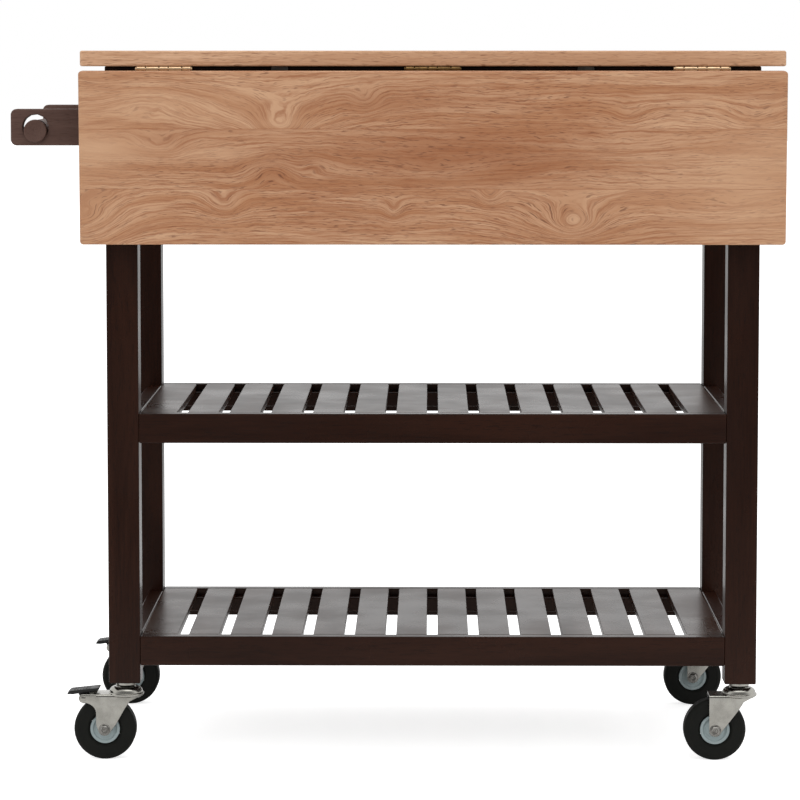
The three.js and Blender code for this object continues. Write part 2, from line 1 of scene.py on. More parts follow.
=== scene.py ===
import math
import bmesh
import bpy
import numpy as np
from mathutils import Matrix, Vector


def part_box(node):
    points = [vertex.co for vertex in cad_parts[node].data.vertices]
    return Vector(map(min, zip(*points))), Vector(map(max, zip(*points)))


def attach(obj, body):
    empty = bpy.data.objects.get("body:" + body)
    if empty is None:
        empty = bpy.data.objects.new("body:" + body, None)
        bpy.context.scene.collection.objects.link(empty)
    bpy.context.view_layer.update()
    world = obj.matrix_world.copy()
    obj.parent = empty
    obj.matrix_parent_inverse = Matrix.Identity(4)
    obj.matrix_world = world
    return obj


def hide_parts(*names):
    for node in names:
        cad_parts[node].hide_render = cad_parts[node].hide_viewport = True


# Kitchen island with a drop leaf: finishes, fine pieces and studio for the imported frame.
# Lengths below are in millimetres from the middle of the frame, X to the right, Y to the back
# and Z up from the floor, and become metres in the frame's own place when a mesh is made.

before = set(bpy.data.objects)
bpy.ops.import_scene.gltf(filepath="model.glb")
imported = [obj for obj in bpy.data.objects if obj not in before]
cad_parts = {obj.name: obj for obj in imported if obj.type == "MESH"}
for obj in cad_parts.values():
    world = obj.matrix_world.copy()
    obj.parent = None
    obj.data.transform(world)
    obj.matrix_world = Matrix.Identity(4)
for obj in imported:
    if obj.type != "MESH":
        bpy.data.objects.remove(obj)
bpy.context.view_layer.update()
print("frame loaded with", len(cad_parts), "nodes")

mm = 0.001
frameMiddle = np.array([43.75, 10.567, 0.0])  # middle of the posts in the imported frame


# camera, at the worktop's height as in the photograph
camera = {
    "place": (0.0429, -4.375, 0.8520), "pitchDown": 4.985, "yawLeft": 0.521,
    "lens": 157.87, "sensor": 36.0, "shiftUp": -0.05, "farClip": 200.0,
}


def addCamera(c):
    data = bpy.data.cameras.new("studioCamera")
    data.lens = c["lens"]
    data.sensor_width = c["sensor"]
    data.shift_y = c["shiftUp"]
    data.clip_end = c["farClip"]
    eye = bpy.data.objects.new("studioCamera", data)
    eye.location = c["place"]
    eye.rotation_euler = (math.radians(90 - c["pitchDown"]), 0, math.radians(c["yawLeft"]))
    bpy.context.scene.collection.objects.link(eye)
    bpy.context.scene.camera = eye


addCamera(camera)


# Quads of a grid of rows x columns points, the point's number being row * columns + column. Each quad
# takes a point, the next in its row and the two beside them in the next row, joined round where asked.
def gridFaces(rows, columns, roundRows=False, roundColumns=False):
    row, column = np.mgrid[:rows if roundRows else rows - 1, :columns if roundColumns else columns - 1]
    nextRow, nextColumn = (row + 1) % rows, (column + 1) % columns
    corners = [row * columns + column, row * columns + nextColumn,
               nextRow * columns + nextColumn, nextRow * columns + column]
    return np.stack(corners, -1).reshape(-1, 4).tolist()


# a tube's quads, and one face over each end
def closedTube(rows, columns):
    ends = [list(range(columns))[::-1], [(rows - 1) * columns + i for i in range(columns)]]
    return gridFaces(rows, columns, roundColumns=True) + ends


# points from three grids of coordinates, each spread over the others' rows and columns
def spaced(x, y, z):
    return np.stack(np.broadcast_arrays(x, y, z), -1)


# local (u, v, w) to X, Y, Z for a form that is carried along the given axis
def laid(points, along):
    order = {"z": (0, 1, 2), "y": (0, 2, 1), "x": (2, 0, 1)}[along]
    return points.reshape(-1, 3)[:, order]


# Convex outline with a round at each corner, and the same round between sides and ends.
# Point = centre of the corner's round + (corner radius - edge + edge cos f) * outward normal,
# height = end of the core + edge sin f, with f from -90 to 90 degrees.
def prismRings(outline, radii, edge, span, cornerSteps, edgeSteps):
    outline = np.asarray(outline, float)
    radii = np.maximum(np.broadcast_to(radii, len(outline)), edge)[:, None]
    ahead = np.roll(outline, -1, 0) - outline
    ahead /= np.linalg.norm(ahead, axis=1, keepdims=True)
    normalOut = np.stack([ahead[:, 1], -ahead[:, 0]], 1)
    normalIn = np.roll(normalOut, 1, 0)
    cosine = np.sum(normalIn * normalOut, 1, keepdims=True)
    centres = outline - radii * (normalIn + normalOut) / (1 + cosine)
    start = np.arctan2(normalIn[:, 1], normalIn[:, 0])[:, None]
    turn = np.arccos(np.clip(cosine, -1, 1))
    angles = (start + turn * np.linspace(0, 1, cornerSteps + 1)[None, :]).ravel()
    normals = np.stack([np.cos(angles), np.sin(angles)], 1)
    centres = np.repeat(centres, cornerSteps + 1, 0)
    reach = np.repeat(radii, cornerSteps + 1, 0) - edge
    f = np.linspace(0, np.pi / 2, edgeSteps + 1)
    f = np.concatenate([-f[::-1], f])
    height = np.repeat([span[0] + edge, span[1] - edge], edgeSteps + 1) + edge * np.sin(f)
    flat = centres[None] + (reach[None] + edge * np.cos(f)[:, None, None]) * normals[None]
    return flat, height


# prismRings closed by a flat face at both ends
def roundedPrism(outline, radii, edge, span, along="z", cornerSteps=4, edgeSteps=3):
    flat, height = prismRings(outline, radii, edge, span, cornerSteps, edgeSteps)
    points = spaced(flat[..., 0], flat[..., 1], height[:, None])
    return laid(points, along), closedTube(*points.shape[:2])


# a roundedPrism between two opposite corners
def board(low, high, edge, corner=0.0, along="z", steps=3):
    order = {"z": (0, 1, 2), "y": (0, 2, 1), "x": (1, 2, 0)}[along]
    (u0, v0, w0), (u1, v1, w1) = np.array([low, high], float)[:, list(order)]
    outline = [(u0, v0), (u1, v0), (u1, v1), (u0, v1)]
    return roundedPrism(outline, corner, edge, (w0, w1), along, steps, steps)


# A plate with a round hole: the outline's rings, then the hole's rings back down. Between two points
# of the outline lie parts - 1 more: point + share * (next point - point).
# Hole point = hole centre + (hole radius + edge - edge cos f) * direction of the outline's point.
def piercedPlate(outline, radii, edge, span, hole, holeRadius, along="y", steps=6, parts=8):
    flat, height = prismRings(outline, radii, edge, span, steps, 3)
    share = np.linspace(0, 1, parts + 1)[:-1, None]
    flat = flat[:, :, None] * (1 - share) + np.roll(flat, -1, 1)[:, :, None] * share
    flat = flat.reshape(len(height), -1, 2)
    direction = flat[len(height) // 2] - np.asarray(hole)
    direction /= np.linalg.norm(direction, axis=1, keepdims=True)
    f = np.linspace(np.pi / 2, -np.pi / 2, len(height))
    ring = np.asarray(hole) + (holeRadius + edge - edge * np.cos(f))[:, None, None] * direction
    ringHeight = np.where(f > 0, span[1] - edge, span[0] + edge) + edge * np.sin(f)
    rings, heights = np.concatenate([flat, ring]), np.concatenate([height, ringHeight])
    points = spaced(rings[..., 0], rings[..., 1], heights[:, None])
    return laid(points, along), gridFaces(*points.shape[:2], True, True)


# A profile of (radius, height) turned once round: (r cos a, r sin a, h). With flat sides, r is drawn
# in to them: r * cos(half a side's angle) / cos(angle from the middle of the side).
def turnedPiece(profile, steps=48, along="z", sides=0):
    profile = np.asarray(profile, float)
    angle = np.linspace(0, 2 * np.pi, steps, endpoint=False)
    draw = np.ones(steps)
    if sides:
        step = 2 * np.pi / sides
        draw = np.cos(step / 2) / np.cos((angle % step) - step / 2)
    radius = profile[:, :1] * draw
    points = spaced(radius * np.cos(angle), radius * np.sin(angle), profile[:, 1:])
    closed = bool(np.allclose(profile[0], profile[-1]))
    if closed:
        points = points[:-1]
    return laid(points, along), gridFaces(len(points), steps, closed, True)


# a curve that leaves first towards corner and comes into last from there, t from 0 to 1:
# (1 - t)^2 * first + 2 t (1 - t) * corner + t^2 * last
def eased(first, corner, last, t):
    return (1 - t) ** 2 * first + 2 * t * (1 - t) * corner + t ** 2 * last


# a profile with each of its corners eased
def roundedProfile(points, radius, count=4):
    points = np.asarray(points, float)
    before, at, after = points[:-2], points[1:-1], points[2:]
    toBefore, toAfter = before - at, after - at
    lengthBefore = np.linalg.norm(toBefore, axis=1, keepdims=True)
    lengthAfter = np.linalg.norm(toAfter, axis=1, keepdims=True)
    nearlyHalf = 0.45  # of a short side, so that neighbouring corners never meet
    cutBack = np.minimum(radius, nearlyHalf * np.minimum(lengthBefore, lengthAfter))
    first, last = at + toBefore / lengthBefore * cutBack, at + toAfter / lengthAfter * cutBack
    t = np.linspace(0, 1, count + 1)[None, :, None]
    curve = eased(first[:, None], at[:, None], last[:, None], t)
    return np.concatenate([points[:1], curve.reshape(-1, 2), points[-1:]])


# a quarter of an oval from its side to its top: centre + (width * cos t, rise * sin t)
def quarterOval(centre, width, rise, steps):
    t = np.linspace(0, np.pi / 2, steps)
    return np.asarray(centre) + np.stack([width * np.cos(t), rise * np.sin(t)], 1)


# half a profile with its mirror image in front: (r, -h) from the last point to the first, then (r, h)
def bothWays(half):
    half = np.asarray(half, float)
    return np.concatenate([(half * (1, -1))[::-1], half])


# a plain pin, eased at both ends
def pinShape(radius, end, ease, steps, along):
    return turnedPiece(bothWays([(radius, end - ease), (radius - ease, end), (0, end)]), steps, along)


# A ribbon of sheet: point = line point +- half the thickness * its normal, and round each tip
# tip + half * (cos f * normal + sin f * outward tangent), with f from 0 to 180 degrees.
# lines and normals are (stations, points, 3); the stations follow each other along the sheet.
def ribbon(lines, normals, thickness, tipSteps=4):
    half = thickness / 2
    f = np.linspace(0, np.pi, tipSteps + 1)[1:-1][None, :, None]

    def tip(end, inner, sign):
        tangent = lines[:, end] - lines[:, inner]
        tangent /= np.linalg.norm(tangent, axis=1, keepdims=True)
        around = sign * np.cos(f) * normals[:, end][:, None] + np.sin(f) * tangent[:, None]
        return lines[:, end][:, None] + half * around

    inside = (lines - half * normals)[:, ::-1]
    rings = np.concatenate([lines + half * normals, tip(-1, -2, 1), inside, tip(0, 1, -1)], 1)
    return rings.reshape(-1, 3), closedTube(*rings.shape[:2])


def moved(shape, x=0.0, y=0.0, z=0.0):
    return (shape[0] + np.array([x, y, z]), *shape[1:])


def mirrored(shape, x=1, y=1, z=1):
    return (shape[0] * np.array([x, y, z]), *shape[1:])


# turned about the X axis through the origin: (x, y cos a - z sin a, y sin a + z cos a)
def tilted(shape, degrees):
    c, s = math.cos(math.radians(degrees)), math.sin(math.radians(degrees))
    return (shape[0] @ np.array([[1, 0, 0], [0, c, s], [0, -s, c]]), *shape[1:])


def finishedWith(shape, index):
    return (shape[0], shape[1], index)


mergeDistance = 2e-6  # metres


# joins the shapes into one object at the origin, in metres, in the place of one node
def addPiece(node, form, shapes, body, materials, sharp=38.0, name=None):
    name = name or f"{node}_{form}"
    points, faces, indices, offset = [], [], [], 0
    for shape in shapes:
        points.append(shape[0])
        faces += [[corner + offset for corner in face] for face in shape[1]]
        indices += [shape[2] if len(shape) > 2 else 0] * len(shape[1])
        offset += len(shape[0])
    mesh = bpy.data.meshes.new(name)
    mesh.from_pydata(((np.concatenate(points) + frameMiddle) * mm).tolist(), [], faces)
    mesh.polygons.foreach_set("material_index", indices)
    work = bmesh.new()
    work.from_mesh(mesh)
    bmesh.ops.remove_doubles(work, verts=work.verts, dist=mergeDistance)
    bmesh.ops.dissolve_degenerate(work, edges=work.edges, dist=mergeDistance / 2)
    bmesh.ops.recalc_face_normals(work, faces=work.faces)
    work.to_mesh(mesh)
    work.free()
    mesh.polygons.foreach_set("use_smooth", [True] * len(mesh.polygons))
    mesh.set_sharp_from_angle(angle=math.radians(sharp))
    for material in materials:
        mesh.materials.append(material)
    piece = bpy.data.objects.new(name, mesh)
    bpy.context.scene.collection.objects.link(piece)
    piece.modifiers.new("evenShading", "WEIGHTED_NORMAL").keep_sharp = True
    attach(piece, body)
    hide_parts(node)


# screen colour from 0 to 255 as the linear colour that a shader takes
def tone(red, green, blue):
    screen = np.array([red, green, blue]) / 255
    linear = np.where(screen <= 0.04045, screen / 12.92, ((screen + 0.055) / 1.055) ** 2.4)
    return (*linear.tolist(), 1.0)


# short hand for placing and joining shader nodes
class nodeSketch:
    def __init__(self, tree):
        self.tree = tree
        self.count = 0

    def node(self, kind, inputs=None, **settings):
        made = self.tree.nodes.new(kind)
        made.location = (220 * (self.count // 6), -240 * (self.count % 6))
        self.count += 1
        for key, value in settings.items():
            setattr(made, key, value)
        for key, value in (inputs or {}).items():
            self.feed(made.inputs[key], value)
        return made

    def feed(self, socket, value):
        if isinstance(value, bpy.types.NodeSocket):
            self.tree.links.new(value, socket)
        else:
            socket.default_value = value

    def math(self, operation, a, b=0.0):
        return self.node("ShaderNodeMath", {0: a, 1: b}, operation=operation).outputs[0]

    def plus(self, a, b):
        return self.math("ADD", a, b)

    def minus(self, a, b):
        return self.math("SUBTRACT", a, b)

    def times(self, a, b):
        return self.math("MULTIPLY", a, b)

    def vector(self, operation, a, b=(0.0, 0.0, 0.0)):
        made = self.node("ShaderNodeVectorMath", {0: a, 1: b}, operation=operation)
        return made.outputs["Value" if operation == "LENGTH" else "Vector"]

    def noise(self, vector, scale=1.0, detail=2.0, roughness=0.5, distortion=0.0):
        given = {"Vector": vector, "Scale": scale, "Detail": detail, "Roughness": roughness,
                 "Distortion": distortion}
        return self.node("ShaderNodeTexNoise", given).outputs["Fac"]

    def spread(self, value, low, high, outLow=0.0, outHigh=1.0, soft=True):
        given = {"Value": value, "From Min": low, "From Max": high, "To Min": outLow, "To Max": outHigh}
        made = self.node("ShaderNodeMapRange", given)
        made.interpolation_type = "SMOOTHSTEP" if soft else "LINEAR"
        return made.outputs["Result"]

    def mix(self, factor, a, b):
        made = self.node("ShaderNodeMix", {0: factor}, data_type="RGBA")
        self.feed(made.inputs[6], a)
        self.feed(made.inputs[7], b)
        return made.outputs[2]

    def parts(self, vector):
        return self.node("ShaderNodeSeparateXYZ", {0: vector}).outputs

    def combine(self, x, y, z):
        return self.node("ShaderNodeCombineXYZ", {0: x, 1: y, 2: z}).outputs[0]

    def effect(self, group, inputs):
        made = self.node("ShaderNodeGroup", node_tree=group)
        for key, value in inputs.items():
            self.feed(made.inputs[key], value)
        return made.outputs


# a node group; its sockets are given as labels under their kind
def newEffect(name, inputs, outputs):
    group = bpy.data.node_groups.new(name, "ShaderNodeTree")
    for way, sockets in (("INPUT", inputs), ("OUTPUT", outputs)):
        for kind, labels in sockets.items():
            for label in labels.split():
                group.interface.new_socket(name=label, in_out=way, socket_type="NodeSocket" + kind)
    t = nodeSketch(group)
    return group, t, t.node("NodeGroupInput").outputs, t.node("NodeGroupOutput").inputs


# a cloudy mottle, for handling marks and uneven gloss; Size is clouds per metre
def surfaceMottleEffect():
    inputs = {"Vector": "Vector", "Float": "Size"}
    group, t, given, result = newEffect("surfaceMottle", inputs, {"Float": "Cloud"})
    t.feed(result["Cloud"], t.spread(t.noise(given["Vector"], given["Size"], 4, 0.55), 0.3, 0.7))
    return group


# how often each part of the wood changes per metre, along the grain and across it
fibreScales = {"fibre": (14, 420, 420), "pores": (70, 900, 900), "drift": (3, 26, 26)}


# fibres, open pores and slow colour drift along X of the given vector, in metres
def woodFibreEffect(scales):
    inputs = {"Vector": "Vector", "Float": "Fineness"}
    group, t, given, result = newEffect("woodFibre", inputs, {"Float": "Fibre Pores Drift"})
    scaling = {0: given["Vector"], 3: given["Fineness"]}
    scaled = t.node("ShaderNodeVectorMath", scaling, operation="SCALE").outputs[0]
    fibre = t.noise(t.vector("MULTIPLY", scaled, scales["fibre"]), 1, 4, 0.6, 0.3)
    pores = t.noise(t.vector("MULTIPLY", scaled, scales["pores"]), 1, 1, 0.5)
    drift = t.noise(t.vector("MULTIPLY", scaled, scales["drift"]), 1, 3, 0.55, 0.6)
    t.feed(result["Fibre"], t.spread(fibre, 0.25, 0.75, soft=False))
    t.feed(result["Pores"], t.spread(pores, 0.57, 0.72))
    t.feed(result["Drift"], t.spread(drift, 0.3, 0.7))
    return group


surfaceMottle = surfaceMottleEffect()
woodFibre = woodFibreEffect(fibreScales)


# a new material with the constants set on its shader's own sockets
def newMaterial(name, **constants):
    made = bpy.data.materials.new(name)
    made.use_nodes = True
    made.node_tree.nodes.clear()
    t = nodeSketch(made.node_tree)
    shader = t.node("ShaderNodeBsdfPrincipled")
    t.node("ShaderNodeOutputMaterial", {"Surface": shader.outputs[0]})
    for key, value in constants.items():
        shader.inputs[key].default_value = value
    return made, t, shader.inputs, t.node("ShaderNodeTexCoord").outputs["Object"]


# bump is (distance in metres, strength)
def finishSurface(t, shader, colour, roughness, height, bump):
    given = {"Height": height, "Distance": bump[0], "Strength": bump[1]}
    t.feed(shader["Base Color"], colour)
    t.feed(shader["Roughness"], roughness)
    t.feed(shader["Normal"], t.node("ShaderNodeBump", given).outputs["Normal"])


# dark lacquered hardwood; the slats' copy is paler and warmer, painted sheen standing in for the light on
# the slat tops, and the towel bar's wood is matt
darkWood = {
    "deep": (28, 11, 6), "warm": (54, 29, 19), "pore": (20, 11, 9),
    "roughness": (0.24, 0.34), "gloss": 0.19, "sheen": (1.0, 0.93, 0.87, 1.0),
    "drift": 0.55, "fibre": 0.35, "poreDepth": 0.5,
    "marks": 9.0,  # per metre
    "bump": (0.00006, 0.6),
}
# the slats' copy of the finish: paler and warmer, painted sheen for the light the slat tops catch
slatWoodPaintedSheen = dict(darkWood, deep=(42, 24, 16), warm=(72, 47, 35), gloss=0.17)
towelWood = dict(darkWood, deep=(78, 58, 52), warm=(110, 88, 80), pore=(58, 41, 36),
                 roughness=(0.42, 0.55), gloss=0.08)


# grain is the axis that the piece runs along
def darkWoodMaterial(name, grain, w):
    constants = {"Specular IOR Level": w["gloss"], "IOR": 1.5, "Specular Tint": w["sheen"]}
    made, t, shader, place = newMaterial(name, **constants)
    deep, warm, pore = (tone(*w[key]) for key in ("deep", "warm", "pore"))
    x, y, z = t.parts(place)
    turned = t.combine(*{"x": (x, y, z), "y": (y, x, z), "z": (z, x, y)}[grain])
    wood = t.effect(woodFibre, {"Vector": turned, "Fineness": 1.0})
    marks = t.effect(surfaceMottle, {"Vector": place, "Size": w["marks"]})
    body = t.mix(t.times(wood["Drift"], w["drift"]), deep, warm)
    body = t.mix(t.times(wood["Fibre"], w["fibre"]), body, warm)
    body = t.mix(t.times(wood["Pores"], w["poreDepth"]), body, pore)
    height = t.minus(t.times(wood["Fibre"], 0.5), wood["Pores"])
    roughness = t.spread(marks["Cloud"], 0, 1, *w["roughness"], soft=False)
    finishSurface(t, shader, body, roughness, height, w["bump"])
    return made


darkGrain = {grain: darkWoodMaterial("darkWood" + grain.upper(), grain, darkWood) for grain in "xyz"}
slatGrainPaintedSheen = darkWoodMaterial("slatWoodY", "y", slatWoodPaintedSheen)
towelGrain = {grain: darkWoodMaterial("towelWood" + grain.upper(), grain, towelWood) for grain in "xy"}


# one swirl of the grain: Lift = Height * e^(-d * d), with d the way from Centre measured in Reaches
def grainSwirlEffect():
    inputs = {"Vector": "Vector Centre Reach", "Float": "Height"}
    group, t, given, result = newEffect("grainSwirl", inputs, {"Float": "Lift"})
    away = t.vector("DIVIDE", t.vector("SUBTRACT", given["Vector"], given["Centre"]), given["Reach"])
    fall = t.math("EXPONENT", t.times(t.math("POWER", t.vector("LENGTH", away), 2.0), -1.0))
    t.feed(result["Lift"], t.times(fall, given["Height"]))
    return group


# light hardwood; a noise layer is (times per metre along, and across, detail, roughness)
staveWood = {
    "spacing": 3.71,  # metres of other grain from one stave to the next
    "wander": (3.6, 13.0, 2, 0.5), "wanderReach": 0.022, "ripple": (42.0, 70.0, 2, 0.5),
    "rippleReach": 0.0045, "broad": (4.5, 60.0, 3, 0.6), "broadRange": (0.36, 0.66),
    "rings": (118.0, 1.5),  # per metre, and how far the broad layer shifts them
    "ringRise": (0.62, 0.97), "ringFall": (1.0, 0.975), "ringDepth": 0.34,
    "redness": 0.6, "fineness": 1.5, "fibreRange": (0.35, 0.9), "fibreDepth": 0.78,
    "dashes": (85.0, 1150.0, 1, 0.5), "dashRange": (0.58, 0.70),
    "dashDrift": (0.0, 0.6, 0.35, 1.0), "poreDepth": 0.7,
    "roughness": (0.36, 0.16),  # least, and what the fibres add
    "relief": 0.35,
}


# Light hardwood glued from staves. Along and Across are metres on the stave, Stave its number and Lift
# what the swirls add; the grain line = Across + Lift + slow wander + small ripple.
def staveGrainEffect(c):
    inputs = {"Float": "Along Across Depth Stave Lift Redness", "Color": "Light Mid Streak Pore"}
    outputs = {"Color": "Colour", "Float": "Gloss Height"}
    group, t, given, result = newEffect("staveGrain", inputs, outputs)
    along, across = t.plus(given["Along"], t.times(given["Stave"], c["spacing"])), given["Across"]

    def layer(key, over, third):
        alongScale, overScale, detail, roughness = c[key]
        place = t.combine(t.times(along, alongScale), t.times(over, overScale), third)
        return t.noise(place, 1, detail, roughness)

    wander = t.times(t.minus(layer("wander", across, given["Stave"]), 0.5), c["wanderReach"])
    ripple = t.times(t.minus(layer("ripple", across, given["Stave"]), 0.5), c["rippleReach"])
    line = t.plus(t.plus(t.plus(across, given["Lift"]), wander), ripple)
    place = t.combine(along, line, given["Depth"])
    wood = t.effect(woodFibre, {"Vector": place, "Fineness": c["fineness"]})
    broad = layer("broad", line, given["Stave"])
    perMetre, shift = c["rings"]
    phase = t.math("FRACT", t.plus(t.times(line, perMetre), t.times(broad, shift)))
    ring = t.times(t.spread(phase, *c["ringRise"]), t.spread(phase, *c["ringFall"]))
    fibre = t.spread(wood["Fibre"], *c["fibreRange"])
    dashes = t.spread(layer("dashes", line, given["Depth"]), *c["dashRange"])
    pores = t.times(dashes, t.spread(wood["Drift"], *c["dashDrift"]))
    body = t.mix(t.spread(broad, *c["broadRange"]), given["Light"], given["Mid"])
    for amount, share in ((given["Redness"], "redness"), (fibre, "fibreDepth"), (ring, "ringDepth")):
        body = t.mix(t.times(amount, c[share]), body, given["Streak"])
    least, added = c["roughness"]
    t.feed(result["Colour"], t.mix(t.times(pores, c["poreDepth"]), body, given["Pore"]))
    t.feed(result["Gloss"], t.plus(least, t.times(wood["Fibre"], added)))
    t.feed(result["Height"], t.minus(t.times(wood["Fibre"], c["relief"]), pores))
    return group


grainSwirl = grainSwirlEffect()
staveGrain = staveGrainEffect(staveWood)

butcherBlock = {
    "light": (200, 157, 122), "mid": (177, 125, 87), "streak": (149, 89, 51),
    "pore": (102, 56, 34),
    "shader": {"IOR": 1.45, "Coat Weight": 0.12, "Coat Roughness": 0.25},
    "bump": (0.00008, 0.5), "paleDepth": 0.7,
    "tilt": 0.8,  # how far the grain line leans with depth
    "jointLine": (0.0008, 0.0, 0.0, 0.5),  # from its edge in metres to its middle, where it is darkest
    "staveDepth": 0.057,
    "staveScales": (1.6, 5.37),  # per metre along a stave, and from stave to stave
    "staveRedness": (0.32, 0.7, 0.0, 0.95),
    "leafTones": (0.0, 0.16, 0.05),  # how far each of the leaf's staves leans to the streak colour
    "leafJoints": (0.7640, 0.6930),
    "leafFace": 0.2385,  # the leaf's face in front of the middle of the island
    # swirls on the leaf by stave: centre (X, Z), reach (X, Z), height, in millimetres
    "upper": ((-136, 764, 30, 22, 26), (-128, 778, 85, 40, 24), (-35, 796, 17, 13, 12),
              (275, 779, 28, 16, 11), (-290, 800, 60, 20, -12), (420, 772, 40, 26, 14)),
    "middle": ((245, 743, 88, 13, 9), (-275, 742, 30, 16, 15), (-146, 716, 30, 20, -18),
               (-93, 722, 20, 12, -10), (-340, 738, 40, 10, 9), (60, 716, 90, 14, 8)),
    "lower": ((210, 652, 24, 16, 22), (200, 655, 62, 30, 26), (-372, 650, 52, 38, 40),
              (-203, 672, 24, 17, 19), (-2, 666, 11, 12, 11), (110, 686, 14, 14, 13),
              (395, 668, 80, 18, 9)),
    # warmer clouds: centre, reach, strength
    "warm": ((60, 730, 230, 90, 0.3), (70, 735, 160, 30, 0.6), (-35, 795, 60, 18, 0.5),
             (-60, 660, 90, 20, 0.35), (-272, 752, 40, 14, 0.5), (-150, 720, 60, 20, 0.35),
             (60, 800, 90, 18, 0.35)),
    # paler clouds the same way
    "pale": ((-400, 730, 60, 110, 0.5), (440, 730, 60, 110, 0.35), (-250, 795, 120, 26, 0.45),
             (-345, 742, 58, 13, 0.9), (-215, 735, 45, 9, 0.8), (400, 700, 120, 60, 0.55),
             (-136, 770, 44, 8, 0.5), (190, 690, 120, 9, 0.45), (-330, 700, 60, 60, 0.25)),
}
# the worktop's copy of the leaf's wood, with every colour lighter: painted light, for the light on the
# worktop's front edge
topBlockPaintedLight = dict(butcherBlock, light=(224, 186, 152), mid=(205, 163, 129), streak=(176, 128, 92),
                pore=(132, 88, 60))


def summedSwirls(t, place, swirls, scale=mm):
    total = 0.0
    for x, z, reachX, reachZ, height in swirls:
        given = {"Vector": place, "Centre": (x * mm, 0.0, z * mm), "Reach": (reachX * mm, 1.0, reachZ * mm),
                 "Height": height * scale}
        total = t.plus(total, t.effect(grainSwirl, given)["Lift"])
    return total


# three staves, one above the other, with the photograph's main swirls and clouds
def leafLayout(t, w, x, y, z):
    flat = t.combine(x, 0.0, z)
    top, bottom = w["leafJoints"]
    isUpper, isLower = t.math("GREATER_THAN", z, top), t.math("LESS_THAN", z, bottom)
    isMiddle = t.minus(1.0, t.plus(isUpper, isLower))
    lift = 0.0
    for key, mask in (("upper", isUpper), ("middle", isMiddle), ("lower", isLower)):
        lift = t.plus(lift, t.times(summedSwirls(t, flat, w[key]), mask))
    upper, middle, lower = w["leafTones"]
    lean = t.plus(t.times(isMiddle, middle - upper), t.times(isLower, lower - upper))
    redness = t.plus(summedSwirls(t, flat, w["warm"], 1.0), t.plus(upper, lean))
    across = t.plus(z, t.times(t.plus(y, w["leafFace"]), w["tilt"]))
    joint = t.math("MINIMUM", *(t.math("ABSOLUTE", t.minus(z, place)) for place in (top, bottom)))
    given = {"Across": across, "Depth": y, "Lift": lift, "Redness": redness,
             "Stave": t.plus(isUpper, t.times(isLower, 2.0))}
    return given, summedSwirls(t, flat, w["pale"], 1.0), joint


# staves from side to side, one behind the other, each a little redder or paler
def topLayout(t, w, x, y, z):
    row = t.math("DIVIDE", y, w["staveDepth"])
    stave = t.math("FLOOR", row)
    alongScale, staveScale = w["staveScales"]
    tint = t.noise(t.combine(t.times(x, alongScale), t.times(stave, staveScale), 0.0), 1, 1)
    fromMiddle = t.math("ABSOLUTE", t.minus(t.math("FRACT", row), 0.5))
    given = {"Across": t.plus(y, t.times(z, w["tilt"])), "Depth": z, "Stave": stave,
             "Redness": t.spread(tint, *w["staveRedness"])}
    return given, 0.0, t.times(t.minus(0.5, fromMiddle), w["staveDepth"])


def butcherBlockMaterial(name, w, layout):
    made, t, shader, place = newMaterial(name, **w["shader"])
    x, y, z = t.parts(place)
    light, mid, streak, pore = (tone(*w[key]) for key in ("light", "mid", "streak", "pore"))
    given, pale, joint = layout(t, w, x, y, z)
    given.update({"Along": x, "Light": light, "Mid": mid, "Streak": streak, "Pore": pore})
    wood = t.effect(staveGrain, given)
    body = t.mix(t.times(pale, w["paleDepth"]), wood["Colour"], light)
    body = t.mix(t.spread(joint, *w["jointLine"]), body, streak)
    finishSurface(t, shader, body, wood["Gloss"], wood["Height"], w["bump"])
    return made


butcherTop = butcherBlockMaterial("butcherBlockTop", topBlockPaintedLight, topLayout)
butcherLeaf = butcherBlockMaterial("butcherBlockLeaf", butcherBlock, leafLayout)


# metals and plastics: clouds of a worn colour over a fine grain, each so many to the metre
metal = {"clouds": 60.0, "wear": 0.6, "grain": (900, 900, 2600), "bump": (0.00003, 0.25),
         "shader": {"Metallic": 1.0}}
plastic = {"clouds": 70.0, "wear": 0.5, "grain": (1800,) * 3, "bump": (0.00005, 0.5),
           "shader": {"IOR": 1.5, "Specular IOR Level": 0.5}}
softPlastic = dict(plastic, shader={"IOR": 1.5, "Specular IOR Level": 0.35})
rubber = dict(plastic, grain=(2600,) * 3, shader={"IOR": 1.5, "Specular IOR Level": 0.16})
surfaces = {  # kind, colour, worn colour, roughness
    "brightZinc": (metal, (178, 176, 169), (154, 152, 145), (0.16, 0.27)),
    "boltZinc": (dict(metal, clouds=220.0), (150, 148, 143), (92, 90, 86), (0.16, 0.34)),
    # darker copy of the zinc for the stay brackets: painted shade, for the dark gap under the worktop where
    # they hang
    "stayZincPaintedShade": (metal, (120, 118, 113), (88, 86, 82), (0.3, 0.42)),
    "hingeBrass": (dict(metal, clouds=200.0), (236, 206, 168), (190, 156, 116), (0.3, 0.42)),
    # darker copy of the hinge brass for the middle hinge: painted shade, for the shade the middle hinge
    # lies in
    "brassPaintedShade": (dict(metal, clouds=260.0), (136, 108, 68), (84, 62, 36), (0.36, 0.48)),
    "tyreRubber": (rubber, (18, 19, 16), (28, 28, 25), (0.5, 0.68)),
    "hubPlastic": (dict(plastic, grain=(1500,) * 3), (152, 165, 166), (136, 149, 150), (0.35, 0.5)),
    # near-black plastic for the pedals, and for the screws' cross bars, where it is painted shade for the
    # cross recess
    "pedalPlasticAndRecessShade": (softPlastic, (20, 20, 20), (32, 31, 30), (0.35, 0.5)),
}


